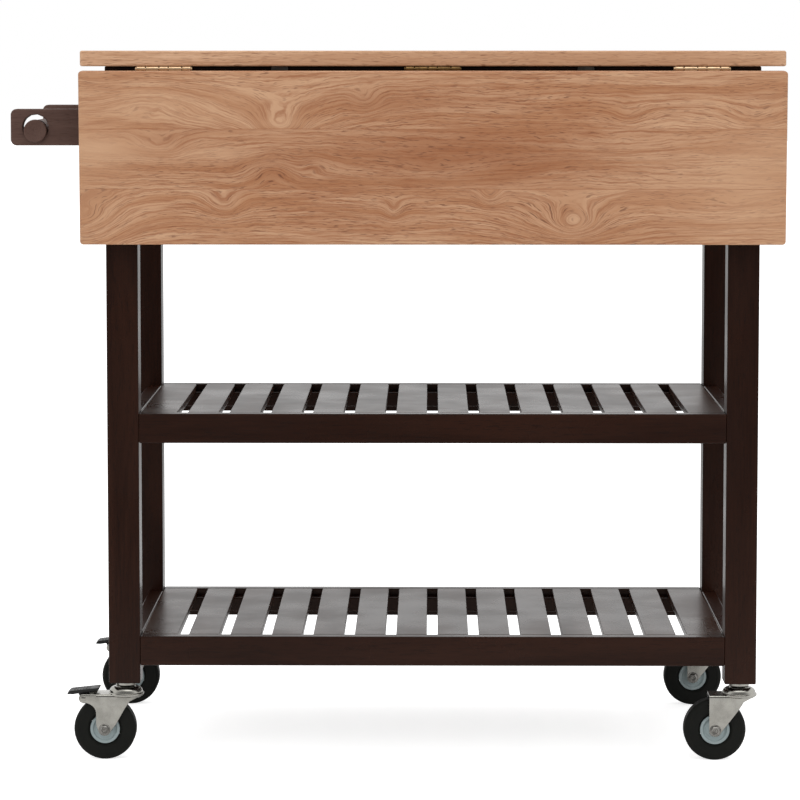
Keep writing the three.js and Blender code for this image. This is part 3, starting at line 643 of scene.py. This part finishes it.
def surfaceMaterial(name, w, colour, worn, roughness):
    made, t, shader, place = newMaterial(name, **w["shader"])
    clouds = t.effect(surfaceMottle, {"Vector": place, "Size": w["clouds"]})["Cloud"]
    fine = t.noise(t.vector("MULTIPLY", place, w["grain"]), 1, 3)
    body = t.mix(t.times(clouds, w["wear"]), tone(*colour), tone(*worn))
    finishSurface(t, shader, body, t.spread(clouds, 0, 1, *roughness, soft=False), fine, w["bump"])
    return made


zinc, boltZinc, stayZincPaintedShade, brass, brassPaintedShade, tyreRubber, hubPlastic, pedalPlasticAndRecessShade = (
    surfaceMaterial(name, *look) for name, look in surfaces.items())

print("materials made")


# a node's lowest and highest corners, in millimetres from the middle of the frame
def nodeBox(node):
    low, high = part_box(node)
    return np.array(low) / mm - frameMiddle, np.array(high) / mm - frameMiddle


# posts, aprons and rails: soft-edged boards in their nodes' own places
timber = {
    "edge": 1.6,
    "nodes": [f"leg_{end}_{side}" for end in ("front", "rear") for side in ("left", "right")]
    + [f"{ring}_{side}" for ring in ("apron", "lower_rail", "middle_rail")
       for side in ("front", "rear", "left", "right")],
}


def addTimber(c):
    for node in c["nodes"]:
        low, high = nodeBox(node)
        grain = "xyz"[int(np.argmax(high - low))]
        shape = board(low, high, c["edge"], along=grain)
        addPiece(node, "board", [shape], "frame", [darkGrain[grain]])


addTimber(timber)


# slatted decks: slats from front to back on a batten behind each long rail
deck = {
    "slats": 14, "slat": 37.0, "slot": 13.3, "thickness": 10.0, "batten": 18.0,
    "housing": 0.5, "edge": 1.7,
    "screw": ((0, -0.5), (3.06, -0.5), (3.4, 0.1), (0, 0.6)),  # radius and height of a head's profile
}


# a slat's left side = the deck's left side + the widths and slots before it
def addDeck(c, node):
    low, high = nodeBox(node)
    top, under = high[2], high[2] - c["thickness"]
    endSlat = (high[0] - low[0] - (c["slats"] - 2) * c["slat"] - (c["slats"] - 1) * c["slot"]) / 2
    across = np.array([endSlat, *[c["slat"]] * (c["slats"] - 2), endSlat])
    left = low[0] + np.concatenate([[0.0], np.cumsum(across + c["slot"])[:-1]])
    shapes = [board((x, low[1], under), (x + w, high[1], top), c["edge"], along="y")
              for x, w in zip(left, across)]
    battenTop = under + c["housing"]
    screw = finishedWith(mirrored(turnedPiece(c["screw"], 20), z=-1), 2)
    for y in (low[1], high[1] - c["batten"]):
        corner = (high[0], y + c["batten"], battenTop)
        batten = board((low[0], y, battenTop - c["batten"]), corner, c["edge"], along="x")
        shapes.append(finishedWith(batten, 1))
        shapes += [moved(screw, x, y + c["batten"] / 2, battenTop - c["batten"]) for x in left + across / 2]
    addPiece(node, "boards", shapes, "frame", [slatGrainPaintedSheen, darkGrain["x"], zinc])


addDeck(deck, "lower_slats")
addDeck(deck, "middle_slats")

worktop = {"edge": 2.4, "corner": 4.0}


def addWorktop(c):
    shape = board(*nodeBox("worktop"), c["edge"], c["corner"], steps=4)
    addPiece("worktop", "board", [shape], "frame", [butcherTop])


addWorktop(worktop)
print("timber and worktop made")


# drop leaf and what hangs with it, drawn as it lies when raised and turned down about the hinge pin
leaf = {
    "pin": (0.0, -228.0, 834.2),
    "hanging": 92.3,  # degrees
    "low": (-417.5, -206.5, 3.3), "high": (417.5, -1.5, 21.3),  # its corners from the pin
    "edge": 2.4, "corner": 4.0,
}


def hung(shape, c, x=0.0):
    return moved(tilted(moved(shape, x), c["hanging"]), *c["pin"])


def atPin(shape, c, x=0.0):
    return moved(moved(shape, x), *c["pin"])


def addLeafBoard(c):
    shape = hung(board(c["low"], c["high"], c["edge"], c["corner"], steps=4), c)
    addPiece("drop_leaf", "board", [shape], "leaf", [butcherLeaf], name="leaf_board")


addLeafBoard(leaf)

# a screw head in millimetres, for the hinges and the stays
screwCut = {"rise": 0.55, "skirt": 0.6, "bar": (0.6, 0.12), "barTop": 0.03, "barDepth": 0.1,
            "barEdge": 0.05}

hinge = {
    "places": {"left": -318.0, "middle": 0.0, "right": 318.0},
    "knuckles": (11.0, 16.0, 11.0, 16.0, 11.0),
    "play": 0.65,  # half the gap between knuckles
    "radius": 3.0, "lip": 0.35,
    "lipRound": (0.1, 0.12),  # in from the barrel and along it
    "plate": 1.6, "plateEdge": 0.4, "plateCorner": 2.0, "reach": (3.4, 22.0),
    "level": {"frame": 3.25, "leaf": 3.0},
    "tongue": (1.0, 0.02, 0.2),  # onto the plate, below its face, edge
    "pin": ((1.4, 32.5), (2.3, 32.5)), "pinDome": ((0, 33.13), 2.3, 0.77, 5),  # half the pin's profile
    "screw": 2.9,
    "screwPlaces": ((-23.0, 13.5), (0.0, 17.0), (23.0, 13.5)),
}


# rounded profile of the barrel: its radius steps in by the lip at both ends
def knuckle(c, start, length):
    half, r, lip, (inward, inset) = length / 2 - c["play"], c["radius"], c["lip"], c["lipRound"]
    profile = bothWays([(r, half - lip), (r - inward, half - inset), (r - lip, half), (0, half)])
    return moved(turnedPiece(profile, 32, along="x"), start + length / 2)


# a head turned from a quarter oval, with a cross of two thin bars in the near-black second material:
# painted shade standing in for the cross recess
def screwHead(radius, c):
    skirt = [(0, -c["skirt"]), (radius, -c["skirt"])]
    head = turnedPiece([*skirt, *quarterOval((0, 0), radius, c["rise"], 6)], 24)
    low, high = c["rise"] - c["barDepth"], c["rise"] + c["barTop"]
    recessShadeBars = [board((-radius * a, -radius * b, low), (radius * a, radius * b, high), c["barEdge"], steps=1)
            for a, b in (c["bar"], c["bar"][::-1])]
    return [head] + [finishedWith(bar, 1) for bar in recessShadeBars]


def addHinge(name, x, c, l):
    # the middle hinge takes the darker brass copy: painted shade
    metalUsed = brassPaintedShade if name == "middle" else brass
    ends = np.concatenate([[0.0], np.cumsum(c["knuckles"])]) - sum(c["knuckles"]) / 2
    half, (near, far), (onPlate, below, tongueEdge) = ends[-1], c["reach"], c["tongue"]
    sides = ("frame", "top", 0, 1, atPin), ("leaf", "leaf", 1, -1, hung)
    for side, part, first, towards, place in sides:
        top = c["level"][side]
        under = top - c["plate"]
        y = sorted((towards * near, towards * far))
        shapes = [board((-half, y[0], under), (half, y[1], top), c["plateEdge"], c["plateCorner"])]
        y = sorted((0.0, towards * (near + onPlate)))
        for start, end in list(zip(ends[:-1], ends[1:]))[first::2]:
            shapes.append(knuckle(c, start, end - start))
            low, high = (start + c["play"], y[0], under), (end - c["play"], y[1], top - below)
            shapes.append(board(low, high, tongueEdge, steps=2))
        for along, out in c["screwPlaces"]:
            for shape in screwHead(c["screw"], screwCut):
                shapes.append(moved(mirrored(shape, z=-1), along, towards * out, under))
        placed = [place(shape, l, x) for shape in shapes]
        # the second, near-black material colours the screws' cross bars: painted shade for the recess
        materials = [metalUsed, pedalPlasticAndRecessShade]
        addPiece(f"hinge_{name}_{part}_plate", "pressed", placed, side, materials)
    profile = bothWays([*c["pin"], *quarterOval(*c["pinDome"])])
    pin = atPin(turnedPiece(profile, 24, along="x"), l, x)
    addPiece(f"hinge_{name}_pin", "turned", [pin], "frame", [metalUsed])


for hingeName, hingePlace in hinge["places"].items():
    addHinge(hingeName, hingePlace, hinge, leaf)
print("leaf and hinges made")


# folding stays: bracket on the apron, bar, and the channel under the leaf that takes its nose
stay = {
    "places": {"left": -182.0, "right": 182.0},
    "pivot": (14.0, -58.0),  # from the hinge pin, back and up
    "hanging": -1.165,  # degrees
    "bar": ((-4.6, -136.326), (4.6, -136.326), (4.6, 4.6), (-4.6, 4.6)),  # (Y, Z) from the pivot
    "barRadius": 4.6, "barSpan": (-2.5, 2.5), "barEdge": 0.5,
    "plate": ((-10, 25.15, -71), (10, 26.95, 3.2)), "plateCorner": 2.0, "edge": 0.4,
    "ear": ((7.5, -64.5), (26.05, -64.5), (26.05, -51.5), (7.5, -51.5)), "earRadii": (6.5, 1, 1, 6.5),
    "earSpans": ((-4.6, -2.8), (2.8, 4.6)),
    "pin": (2.5, 5.8, 0.5),  # radius, end and ease
    "screw": 3.0, "screwHeights": (-62.0, -8.8),
    "sheet": 1.8, "trackEnds": (-195.6, -100.4),
    "trackSide": ((4.4, -6.1),), "trackBend": ((3.0, 0.7), 1.4, 1.4, 5),  # middle of its wall, (X, Z)
}


# the bracket: a plate, two round-ended ears and the pivot pin
def bracketShapes(c):
    shapes = [board(*c["plate"], c["edge"], c["plateCorner"], along="y")]
    shapes += [roundedPrism(c["ear"], c["earRadii"], c["edge"], span, "x", 8, 2) for span in c["earSpans"]]
    shapes.append(moved(pinShape(*c["pin"], 24, "x"), 0, *c["pivot"]))
    for z in c["screwHeights"]:
        for shape in screwHead(c["screw"], screwCut):
            facing = mirrored((shape[0][:, [0, 2, 1]], *shape[1:]), y=-1)
            shapes.append(moved(facing, 0, c["plate"][0][1], z))
    return shapes


# the channel: a ribbon through a wall, a quarter round, and the same mirrored, along the leaf
def trackShape(c):
    side = [*c["trackSide"], *quarterOval(*c["trackBend"])]
    facing = [(1.0, 0.0), *quarterOval((0, 0), 1, 1, c["trackBend"][-1])]
    (x, z), (normalX, normalZ) = (np.concatenate([np.array(half) * (-1, 1), half[::-1]]).T
                                  for half in (side, facing))
    stations = np.linspace(*c["trackEnds"], 8)[:, None]
    return ribbon(spaced(x, stations, z), spaced(normalX, 0 * stations, normalZ), c["sheet"])


def addStay(name, x, c, l):
    node = f"stay_{name}"
    # the bracket takes the darker zinc copy: painted shade
    bracket = [atPin(shape, l, x) for shape in bracketShapes(c)]
    # the second, near-black material colours the screws' cross bars: painted shade for the recess
    addPiece(node + "_bracket", "folded", bracket, "frame", [stayZincPaintedShade, pedalPlasticAndRecessShade])
    bar = roundedPrism(c["bar"], c["barRadius"], c["barEdge"], c["barSpan"], "x", 8, 3)
    bar = atPin(moved(tilted(bar, c["hanging"]), 0, *c["pivot"]), l, x)
    addPiece(node + "_bar", "flat", [bar], node, [zinc])
    addPiece(node + "_track", "folded", [hung(trackShape(c), l, x)], "leaf", [zinc])


for stayName, stayPlace in stay["places"].items():
    addStay(stayName, stayPlace, stay, leaf)


# towel bar on two plates that stand out from the left posts
towel = {
    "place": (-390.55, 175.0, 764.65),
    "plate": ((-114.45, -21.85), (0, -21.85), (0, 21.85), (-114.45, 21.85)), "span": (-9, 9),
    "corners": (7.0, 1.8, 1.8, 7.0), "edge": 1.6,
    "hole": ((-84.75, 0.0), 15.4),  # centre and radius
    "barPlace": (-475.3, 0.0, 760.15), "ease": 1.8,
    # half the bar's profile: bar, neck in the bracket and knob
    "bar": ((13.0, 0), (13.0, 165.7), (10.7, 166.3), (10.7, 183.7), (13.8, 184.3), (13.8, 189.3),
            (0, 189.3)),
}


def addTowelBar(c):
    x, y, z = c["place"]
    plate = piercedPlate(c["plate"], c["corners"], c["edge"], c["span"], *c["hole"])
    for name, side in (("front", -1), ("rear", 1)):
        placed = [moved(plate, x, side * y, z)]
        addPiece(f"towel_bracket_{name}", "plate", placed, "frame", [towelGrain["x"]])
    bar = turnedPiece(bothWays(roundedProfile(c["bar"], c["ease"], 4)), 56, along="y")
    bar = moved(bar, *c["barPlace"])
    addPiece("towel_bar", "turned", [bar], "towel_bar", [towelGrain["y"]])


addTowelBar(towel)
print("stays and towel bar made")


# swivel casters: mount, fork with its race, tyre, hub and axle, with a foot pedal on the left ones
caster = {
    "posts": {"front_left": (-371.5, -182.0), "front_right": (371.5, -182.0),
              "rear_left": (-371.5, 182.0), "rear_right": (371.5, 182.0)},
    "trail": {True: 25.0, False: 29.5},  # with and without a brake
    "wheelRadius": 37.5,
    "forkHalf": 17.0, "sheet": 2.2,
    "bend": 13.5,  # where the legs begin to draw in
    "legEnd": 7.8,
    "legRound": {True: (-1.15, 1.256), False: (-1.1, 1.256)},  # radians from straight down
    "frontMeets": (0.951, -0.309),  # where the round end meets the edges, in its radius
    "rearMeets": (-0.97, -0.243),
    "heel": 4.7, "toe": 5.5,
    "edge": ((-1, 24.5), (5, 33.5), (14, 37.2)),
    "nose": 18.0, "roundness": 1.6,
    "crownTop": 43.1, "crownBend": 3.4,  # above the axle
    "noseBend": ((0.02, 0.05), 0.95, 0.1),  # keeps the bend and the leg from vanishing at the nose
    "back": {True: 10.0, False: 7.3},
    "lug": (-25.4, 37.9, 5.6),  # place of its pivot, and radius round it
    "lugHollow": (-8.0, -20.0),
    # Turned parts by (radius, height above the floor) or (radius, place from the wheel's middle).
    # A quarter oval is (centre, width, rise, steps).
    "mount": ((0, 74.7), (7.8, 74.7), (7.8, 76.7), (6, 76.7), (6, 88.9), (10.6, 88.9), (12, 90.5),
              (12, 94.25), (5.2, 94.25), (5.2, 130.9), (3.8, 132.3), (0, 132.3)),
    "rim": ((6.3, 77), (19.8, 77), (21.7, 78.5), (21.7, 80.8), (20.3, 81.5)),
    "dome": ((12.6, 81.5), 7.7, 7.1, 12),
    "groove": ((11.6, 88.6), (11.2, 87.8), (9.4, 87.8), (9.0, 88.6), (6.3, 88.6)),
    "tread": ((37.5, 0), (37.5, 5.5)),
    "shoulder": ((32.5, 7), 5, 5, 8),
    "wall": ((32.5, 12), (31, 11.65), (30.1, 11.9), (21, 12), (18.2, 9), (18.2, 8)),
    "hub": ((17.9, 0), (17.9, 10.4), (14.5, 10.55), (13.5, 9.0), (10.9, 8.7), (10.1, 10.0), (8.0, 10.2),
            (7.5, 14.2), (4.3, 14.2), (4.3, 0)),
    "shank": ((0, -18.3), (4, -18.3), (4, 22.3), (3.4, 22.7), (0, 22.7)),
    "nut": ((0, 17.3), (5.7, 17.3), (5.7, 20.1), (4.788, 20.8), (3.42, 20.85), (2.85, 19.8), (0.912, 19.7),
            (0, 20.0)),
    "washer": ((0, 17), (6.9, 17), (7.1, 17.25), (6.9, 17.5), (0, 17.5)),
    "rivet": ((0, 16.2), (3.3, 16.2)), "rivetDome": ((0, 17.1), 3.3, 1.1, 5), "rivetPin": 2.5,
}


# a closed ring's profile from one half of it
def ringProfile(half):
    whole = bothWays(half)
    return np.concatenate([whole, whole[:1]])


# the race: an upright rim, then a quarter oval up to the flat top with its groove
def raceShape(c):
    rim = roundedProfile(c["rim"], 0.8, 4)
    return turnedPiece(np.concatenate([rim, quarterOval(*c["dome"])[1:], c["groove"], rim[:1]]), 64)


# half a ring of tread, quarter round and wall
def tyreShape(c):
    wall = roundedProfile(c["wall"], 0.9, 3)[1:]
    half = np.concatenate([c["tread"], quarterOval(*c["shoulder"]), wall])
    return turnedPiece(ringProfile(half), 96, along="y")


# half a ring of seat, rim, dished web, boss and bore
def hubShape(c):
    return turnedPiece(ringProfile(roundedProfile(c["hub"], 0.6, 3)[1:-1]), 72, along="y")


# a shank, and a six-sided nut and a washer with their mirror images
def axleShapes(c):
    nut, washer = turnedPiece(c["nut"], 72, "y", sides=6), turnedPiece(c["washer"], 40, "y")
    return [turnedPiece(c["shank"], 32, "y"), nut, mirrored(nut, y=-1), washer, mirrored(washer, y=-1)]


# a rivet's head on each lug and the pin between them
def rivetShapes(c):
    head = turnedPiece([*c["rivet"], *quarterOval(*c["rivetDome"])], 28, along="y")
    pin = turnedPiece(bothWays([(c["rivetPin"], c["forkHalf"]), (0, c["forkHalf"])]), 24, along="y")
    return [head, mirrored(head, y=-1), pin]


# Half width of the nose: half * (1 - s^p)^(1/p), s from the bend to the nose.
def flare(c, trail, half, nose, count):
    s = np.sin(np.linspace(0, np.pi / 2, count))
    p = c["roundness"]
    return c["bend"] + (trail + nose - c["bend"]) * s, half * np.clip(1 - s ** p, 0, 1) ** (1 / p)


# Lower edge of the fork above the axle at a place x along it: a round end, -sqrt(r^2 - x^2), with
# straight lines to the heel behind it and up the slanting front edge.
def lowerEdge(c, x, trail, back):
    r, (frontX, frontZ), (rearX, rearZ) = c["legEnd"], c["frontMeets"], c["rearMeets"]
    front = [(r * frontX, r * frontZ), (c["bend"], c["toe"])]
    front += [(trail + along, rise) for along, rise in c["edge"]]
    front = np.array(front + [(trail + c["nose"], c["edge"][-1][1])])
    circle = -np.sqrt(np.clip(r * r - x * x, 0, None))
    rear = np.interp(x, [-back, r * rearX], [c["heel"], r * rearZ])
    edge = np.where(x > front[0, 0], np.interp(x, front[:, 0], front[:, 1]), circle)
    return np.where(x < r * rearX, rear, edge)


# The fork in one sheet: a U of leg, crown and leg, carried forward while the legs draw in to the nose.
# Leg point = (x, y, between lower edge and bend); bend point = leg's top + bend * (f's cosine - 1)
# along the leg's outward normal + bend * f's sine upwards; the other leg mirrors y.
def forkShape(c, braked):
    trail, back, half, r = c["trail"][braked], c["back"][braked], c["sheet"] / 2, c["legEnd"]
    start = np.linspace(-back, r * c["rearMeets"][0], 4) if back > r else [-back]
    ring = r * np.sin(np.linspace(*c["legRound"][braked], 14))
    straight = np.linspace(r * c["frontMeets"][0], c["bend"], 5)[1:-1]
    noseX, noseY = flare(c, trail, c["forkHalf"] - half, c["nose"] - half, 26)
    flatX = np.concatenate([start, ring, straight])
    flatX = np.unique(np.round(flatX[(flatX >= -back) & (flatX < c["bend"] - 0.2)], 4))
    x = np.concatenate([flatX, noseX])
    y = np.concatenate([np.full(len(flatX), c["forkHalf"] - half), noseY])
    slope = np.stack([np.gradient(x), np.gradient(y)], 1)
    slope[:len(flatX)] = (1, 0)
    slope[-1] = (0, -1)
    slope /= np.linalg.norm(slope, axis=1, keepdims=True)
    top = c["crownTop"] - half
    least, share, shortest = c["noseBend"]
    bend = np.minimum(c["crownBend"] - half, np.maximum(y, least[0]) * share + least[1])
    low = np.minimum(lowerEdge(c, x, trail, back) + half, top - bend - shortest)
    x, y, low, bend, nx, ny = (row[:, None] for row in (x, y, low, bend, -slope[:, 1], slope[:, 0]))
    f = np.linspace(0, np.pi / 2, 6)
    inward = np.concatenate([np.zeros(4), 1 - np.cos(f)]) * bend
    upward = np.concatenate([np.zeros(4), np.sin(f)])
    leg = low + (top - bend - low) * np.linspace(0, 1, 5)[:-1]
    z = np.concatenate([leg, top - bend + bend * np.sin(f)], 1)
    upright = np.concatenate([np.ones(4), np.cos(f)])
    near = spaced(x - nx * inward, ny * inward - y, z)
    nearNormal = spaced(upright * nx, -upright * ny, upward)
    lines, normals = (np.concatenate([one, (one * (1, -1, 1))[:, ::-1]], 1) for one in (near, nearNormal))
    return ribbon(lines, normals, c["sheet"])


# One lug: an upright sheet between its lower edge, a round end and a hollow curve, and the top.
# Edge point = pivot + r * (cos a, sin a), then the eased curve; roof = pivot + sqrt(r^2 - x^2).
def lugShape(c, side):
    px, pz, r = c["lug"]
    half, back, (turn, last) = c["sheet"] / 2, c["back"][True], c["lugHollow"]
    a = np.linspace(np.pi, 1.6 * np.pi, 12)
    around = np.array([px, pz]) + r * np.stack([np.cos(a), np.sin(a)], 1)
    hollow = np.array([[-back, pz + turn], [-back, pz + last]])
    curve = eased(around[-1], *hollow, np.linspace(0, 1, 12)[1:, None])
    x, low = np.concatenate([around, curve]).T[:, :, None]
    roof = np.where(x < px, pz + np.sqrt(np.clip(r * r - (x - px) ** 2, 0, None)), pz + r)
    roof = np.minimum(roof, c["crownTop"])
    reach = np.maximum((roof - low) / 2 - half, 0.05)
    z = (roof + low) / 2 + reach * np.linspace(-1, 1, 4)
    lines = spaced(x, side * (c["forkHalf"] - half), z)
    return ribbon(lines, np.broadcast_to(np.array([0.0, side, 0.0]), lines.shape), c["sheet"])


# outlines are (X, Z) from the rivet, along the pedal and up
pedal = {
    "tab": ((-21.6, 4.4), (-14.0, 4.2), (16.6, 8.7), (20.8, 12.6), (-16.4, 8.6)),
    "tabRadii": (1.0, 6.0, 1.6, 1.1, 2.6),
    "web": ((-4.6, 0), (4.6, 0), (7.5, 9), (-7.5, 7.5)),
    "webRadius": 0.6,
    "shoe": ((-3.6, 0), (-1.2, -7.4), (2.4, -7.1), (4.2, 0)),
    "shoeRadius": 0.8, "width": 24.0, "innerWidth": 18.0, "boss": (4.6, 14.2, 0.5),
    "ribs": (-11.0, -7.5, -4.0, -0.5, 3.0, 6.5), "ribHalf": 0.7, "ribInset": 3.0,
    "ribHeight": (-1.0, 0.55),
}


# three prisms, a boss round the rivet, and ribs on the tab's face between its last two corners
def pedalShapes(p):
    half, inner, thick, inset = p["width"] / 2, p["innerWidth"] / 2, p["ribHalf"], p["ribInset"]
    shapes = [
        roundedPrism(p["tab"], p["tabRadii"], 1.0, (-half, half), "y", 5, 3),
        roundedPrism(p["web"], p["webRadius"], 0.5, (-inner, inner), "y", 3, 2),
        roundedPrism(p["shoe"], p["shoeRadius"], 0.5, (-inner, inner), "y", 3, 2),
        pinShape(*p["boss"], 32, "y"),
    ]
    (x1, z1), (x0, z0) = p["tab"][-2:]
    for x in p["ribs"]:
        low, high = (z0 + (x - x0) * (z1 - z0) / (x1 - x0) + rise for rise in p["ribHeight"])
        shapes.append(board((x - thick, inset - half, low), (x + thick, half - inset, high), 0.45, steps=2))
    return shapes


def addCaster(name, place, c):
    x, y = place
    braked = name.endswith("left")
    body, wheel, node = f"caster_{name}", f"wheel_{name}", f"caster_{name}_"
    axle = (x - c["trail"][braked], y, c["wheelRadius"])
    pivot = (axle[0] + c["lug"][0], y, axle[2] + c["lug"][1])
    mount = moved(turnedPiece(roundedProfile(c["mount"], 0.5, 2), 40), x, y)
    fork = [moved(forkShape(c, braked), *axle), moved(raceShape(c), x, y)]
    if braked:
        fork += [moved(lugShape(c, side), *axle) for side in (-1, 1)]
        fork += [moved(shape, *pivot) for shape in rivetShapes(c)]
    bolt = [moved(shape, *axle) for shape in axleShapes(c)]
    addPiece(node + "mount", "turned", [mount], "frame", [zinc])
    addPiece(node + "fork", "pressed", fork, body, [zinc], sharp=50)
    addPiece(node + "axle", "bolt", bolt, body, [boltZinc], sharp=24)
    addPiece(node + "tyre", "moulded", [moved(tyreShape(c), *axle)], wheel, [tyreRubber])
    addPiece(node + "hub", "moulded", [moved(hubShape(c), *axle)], wheel, [hubPlastic])
    if braked:
        pressed = [moved(shape, *pivot) for shape in pedalShapes(pedal)]
        addPiece(node + "pedal", "moulded", pressed, f"pedal_{name}", [pedalPlasticAndRecessShade])


for casterName, casterPlace in caster["posts"].items():
    addCaster(casterName, casterPlace, caster)
print("casters made")


# white studio: floor, soft lamps, and a world that is white to the camera and in reflections
studio = {
    "floorSize": 60.0, "paper": (0.93, 0.96), "paperScale": 2.0, "roughness": 0.9,
    "world": 0.8,
    "front": 0.26,  # what reflections show on the camera's side
    "frontFloor": (-0.5, -1.8),  # between these places forward the floor dims
    "frontWorld": (0.1, 0.85),  # and the world between these slopes
    "floorGlow": 0.7,  # lifts the floor to white for the camera alone
    "lamps": {
        "overhead": {"place": (0.3, -0.6, 3.2), "aim": (0.0, 0.0, 0.5), "size": 2.6, "power": 26.0},
        "frontLeft": {"place": (-2.4, -3.0, 2.2), "aim": (0.0, 0.0, 0.45), "size": 1.8, "power": 18.0},
        "frontRight": {"place": (2.8, -2.6, 1.6), "aim": (0.0, 0.0, 0.4), "size": 1.6, "power": 11.0},
    },
}


def grey(level):
    return (level, level, level, 1)


def addFloor(c):
    half = c["floorSize"] / 2
    mesh = bpy.data.meshes.new("studioFloor")
    corners = [(-half, -half, 0), (half, -half, 0), (half, half, 0), (-half, half, 0)]
    mesh.from_pydata(corners, [], [(0, 1, 2, 3)])
    constants = {"Roughness": c["roughness"], "Specular IOR Level": 0.0, "Emission Strength": 1.0}
    made, t, shader, place = newMaterial("studioFloor", **constants)
    path = t.node("ShaderNodeLightPath").outputs
    paper = t.mix(t.noise(place, c["paperScale"], 2), *(grey(level) for level in c["paper"]))
    dim = t.times(path["Is Glossy Ray"], t.spread(t.parts(place)[1], *c["frontFloor"]))
    t.feed(shader["Base Color"], t.mix(dim, paper, grey(c["front"])))
    t.feed(shader["Emission Color"], t.mix(path["Is Camera Ray"], grey(0), grey(c["floorGlow"])))
    mesh.materials.append(made)
    floor = bpy.data.objects.new("studioFloor", mesh)
    bpy.context.scene.collection.objects.link(floor)


def addWorld(c):
    world = bpy.data.worlds.new("studioWorld")
    bpy.context.scene.world = world
    world.use_nodes = True
    world.node_tree.nodes.clear()
    t = nodeSketch(world.node_tree)
    path = t.node("ShaderNodeLightPath").outputs
    direction = t.parts(t.node("ShaderNodeTexCoord").outputs["Generated"])
    front = t.spread(t.times(direction[1], -1.0), *c["frontWorld"], 1.0, c["front"])
    seen = t.math("MAXIMUM", path["Is Camera Ray"], path["Is Transmission Ray"])
    glossy = t.times(path["Is Glossy Ray"], front)
    plain = t.minus(1.0, t.math("MAXIMUM", seen, path["Is Glossy Ray"]))
    strength = t.plus(t.plus(seen, glossy), t.times(plain, c["world"]))
    background = t.node("ShaderNodeBackground", {"Color": grey(1), "Strength": strength})
    t.node("ShaderNodeOutputWorld", {"Surface": background.outputs[0]})


def addLamps(c):
    for name, lamp in c["lamps"].items():
        data = bpy.data.lights.new(name, "AREA")
        data.size, data.energy = lamp["size"], lamp["power"]
        light = bpy.data.objects.new(name, data)
        light.visible_glossy = name == "overhead"
        light.location = lamp["place"]
        away = np.array(lamp["place"]) - np.array(lamp["aim"])
        flat = float(np.hypot(away[0], away[1]))
        light.rotation_euler = (math.atan2(flat, away[2]), 0, math.atan2(away[0], -away[1]))
        bpy.context.scene.collection.objects.link(light)


addFloor(studio)
addWorld(studio)
addLamps(studio)
bpy.context.scene.view_settings.view_transform = "Standard"
print("studio made")
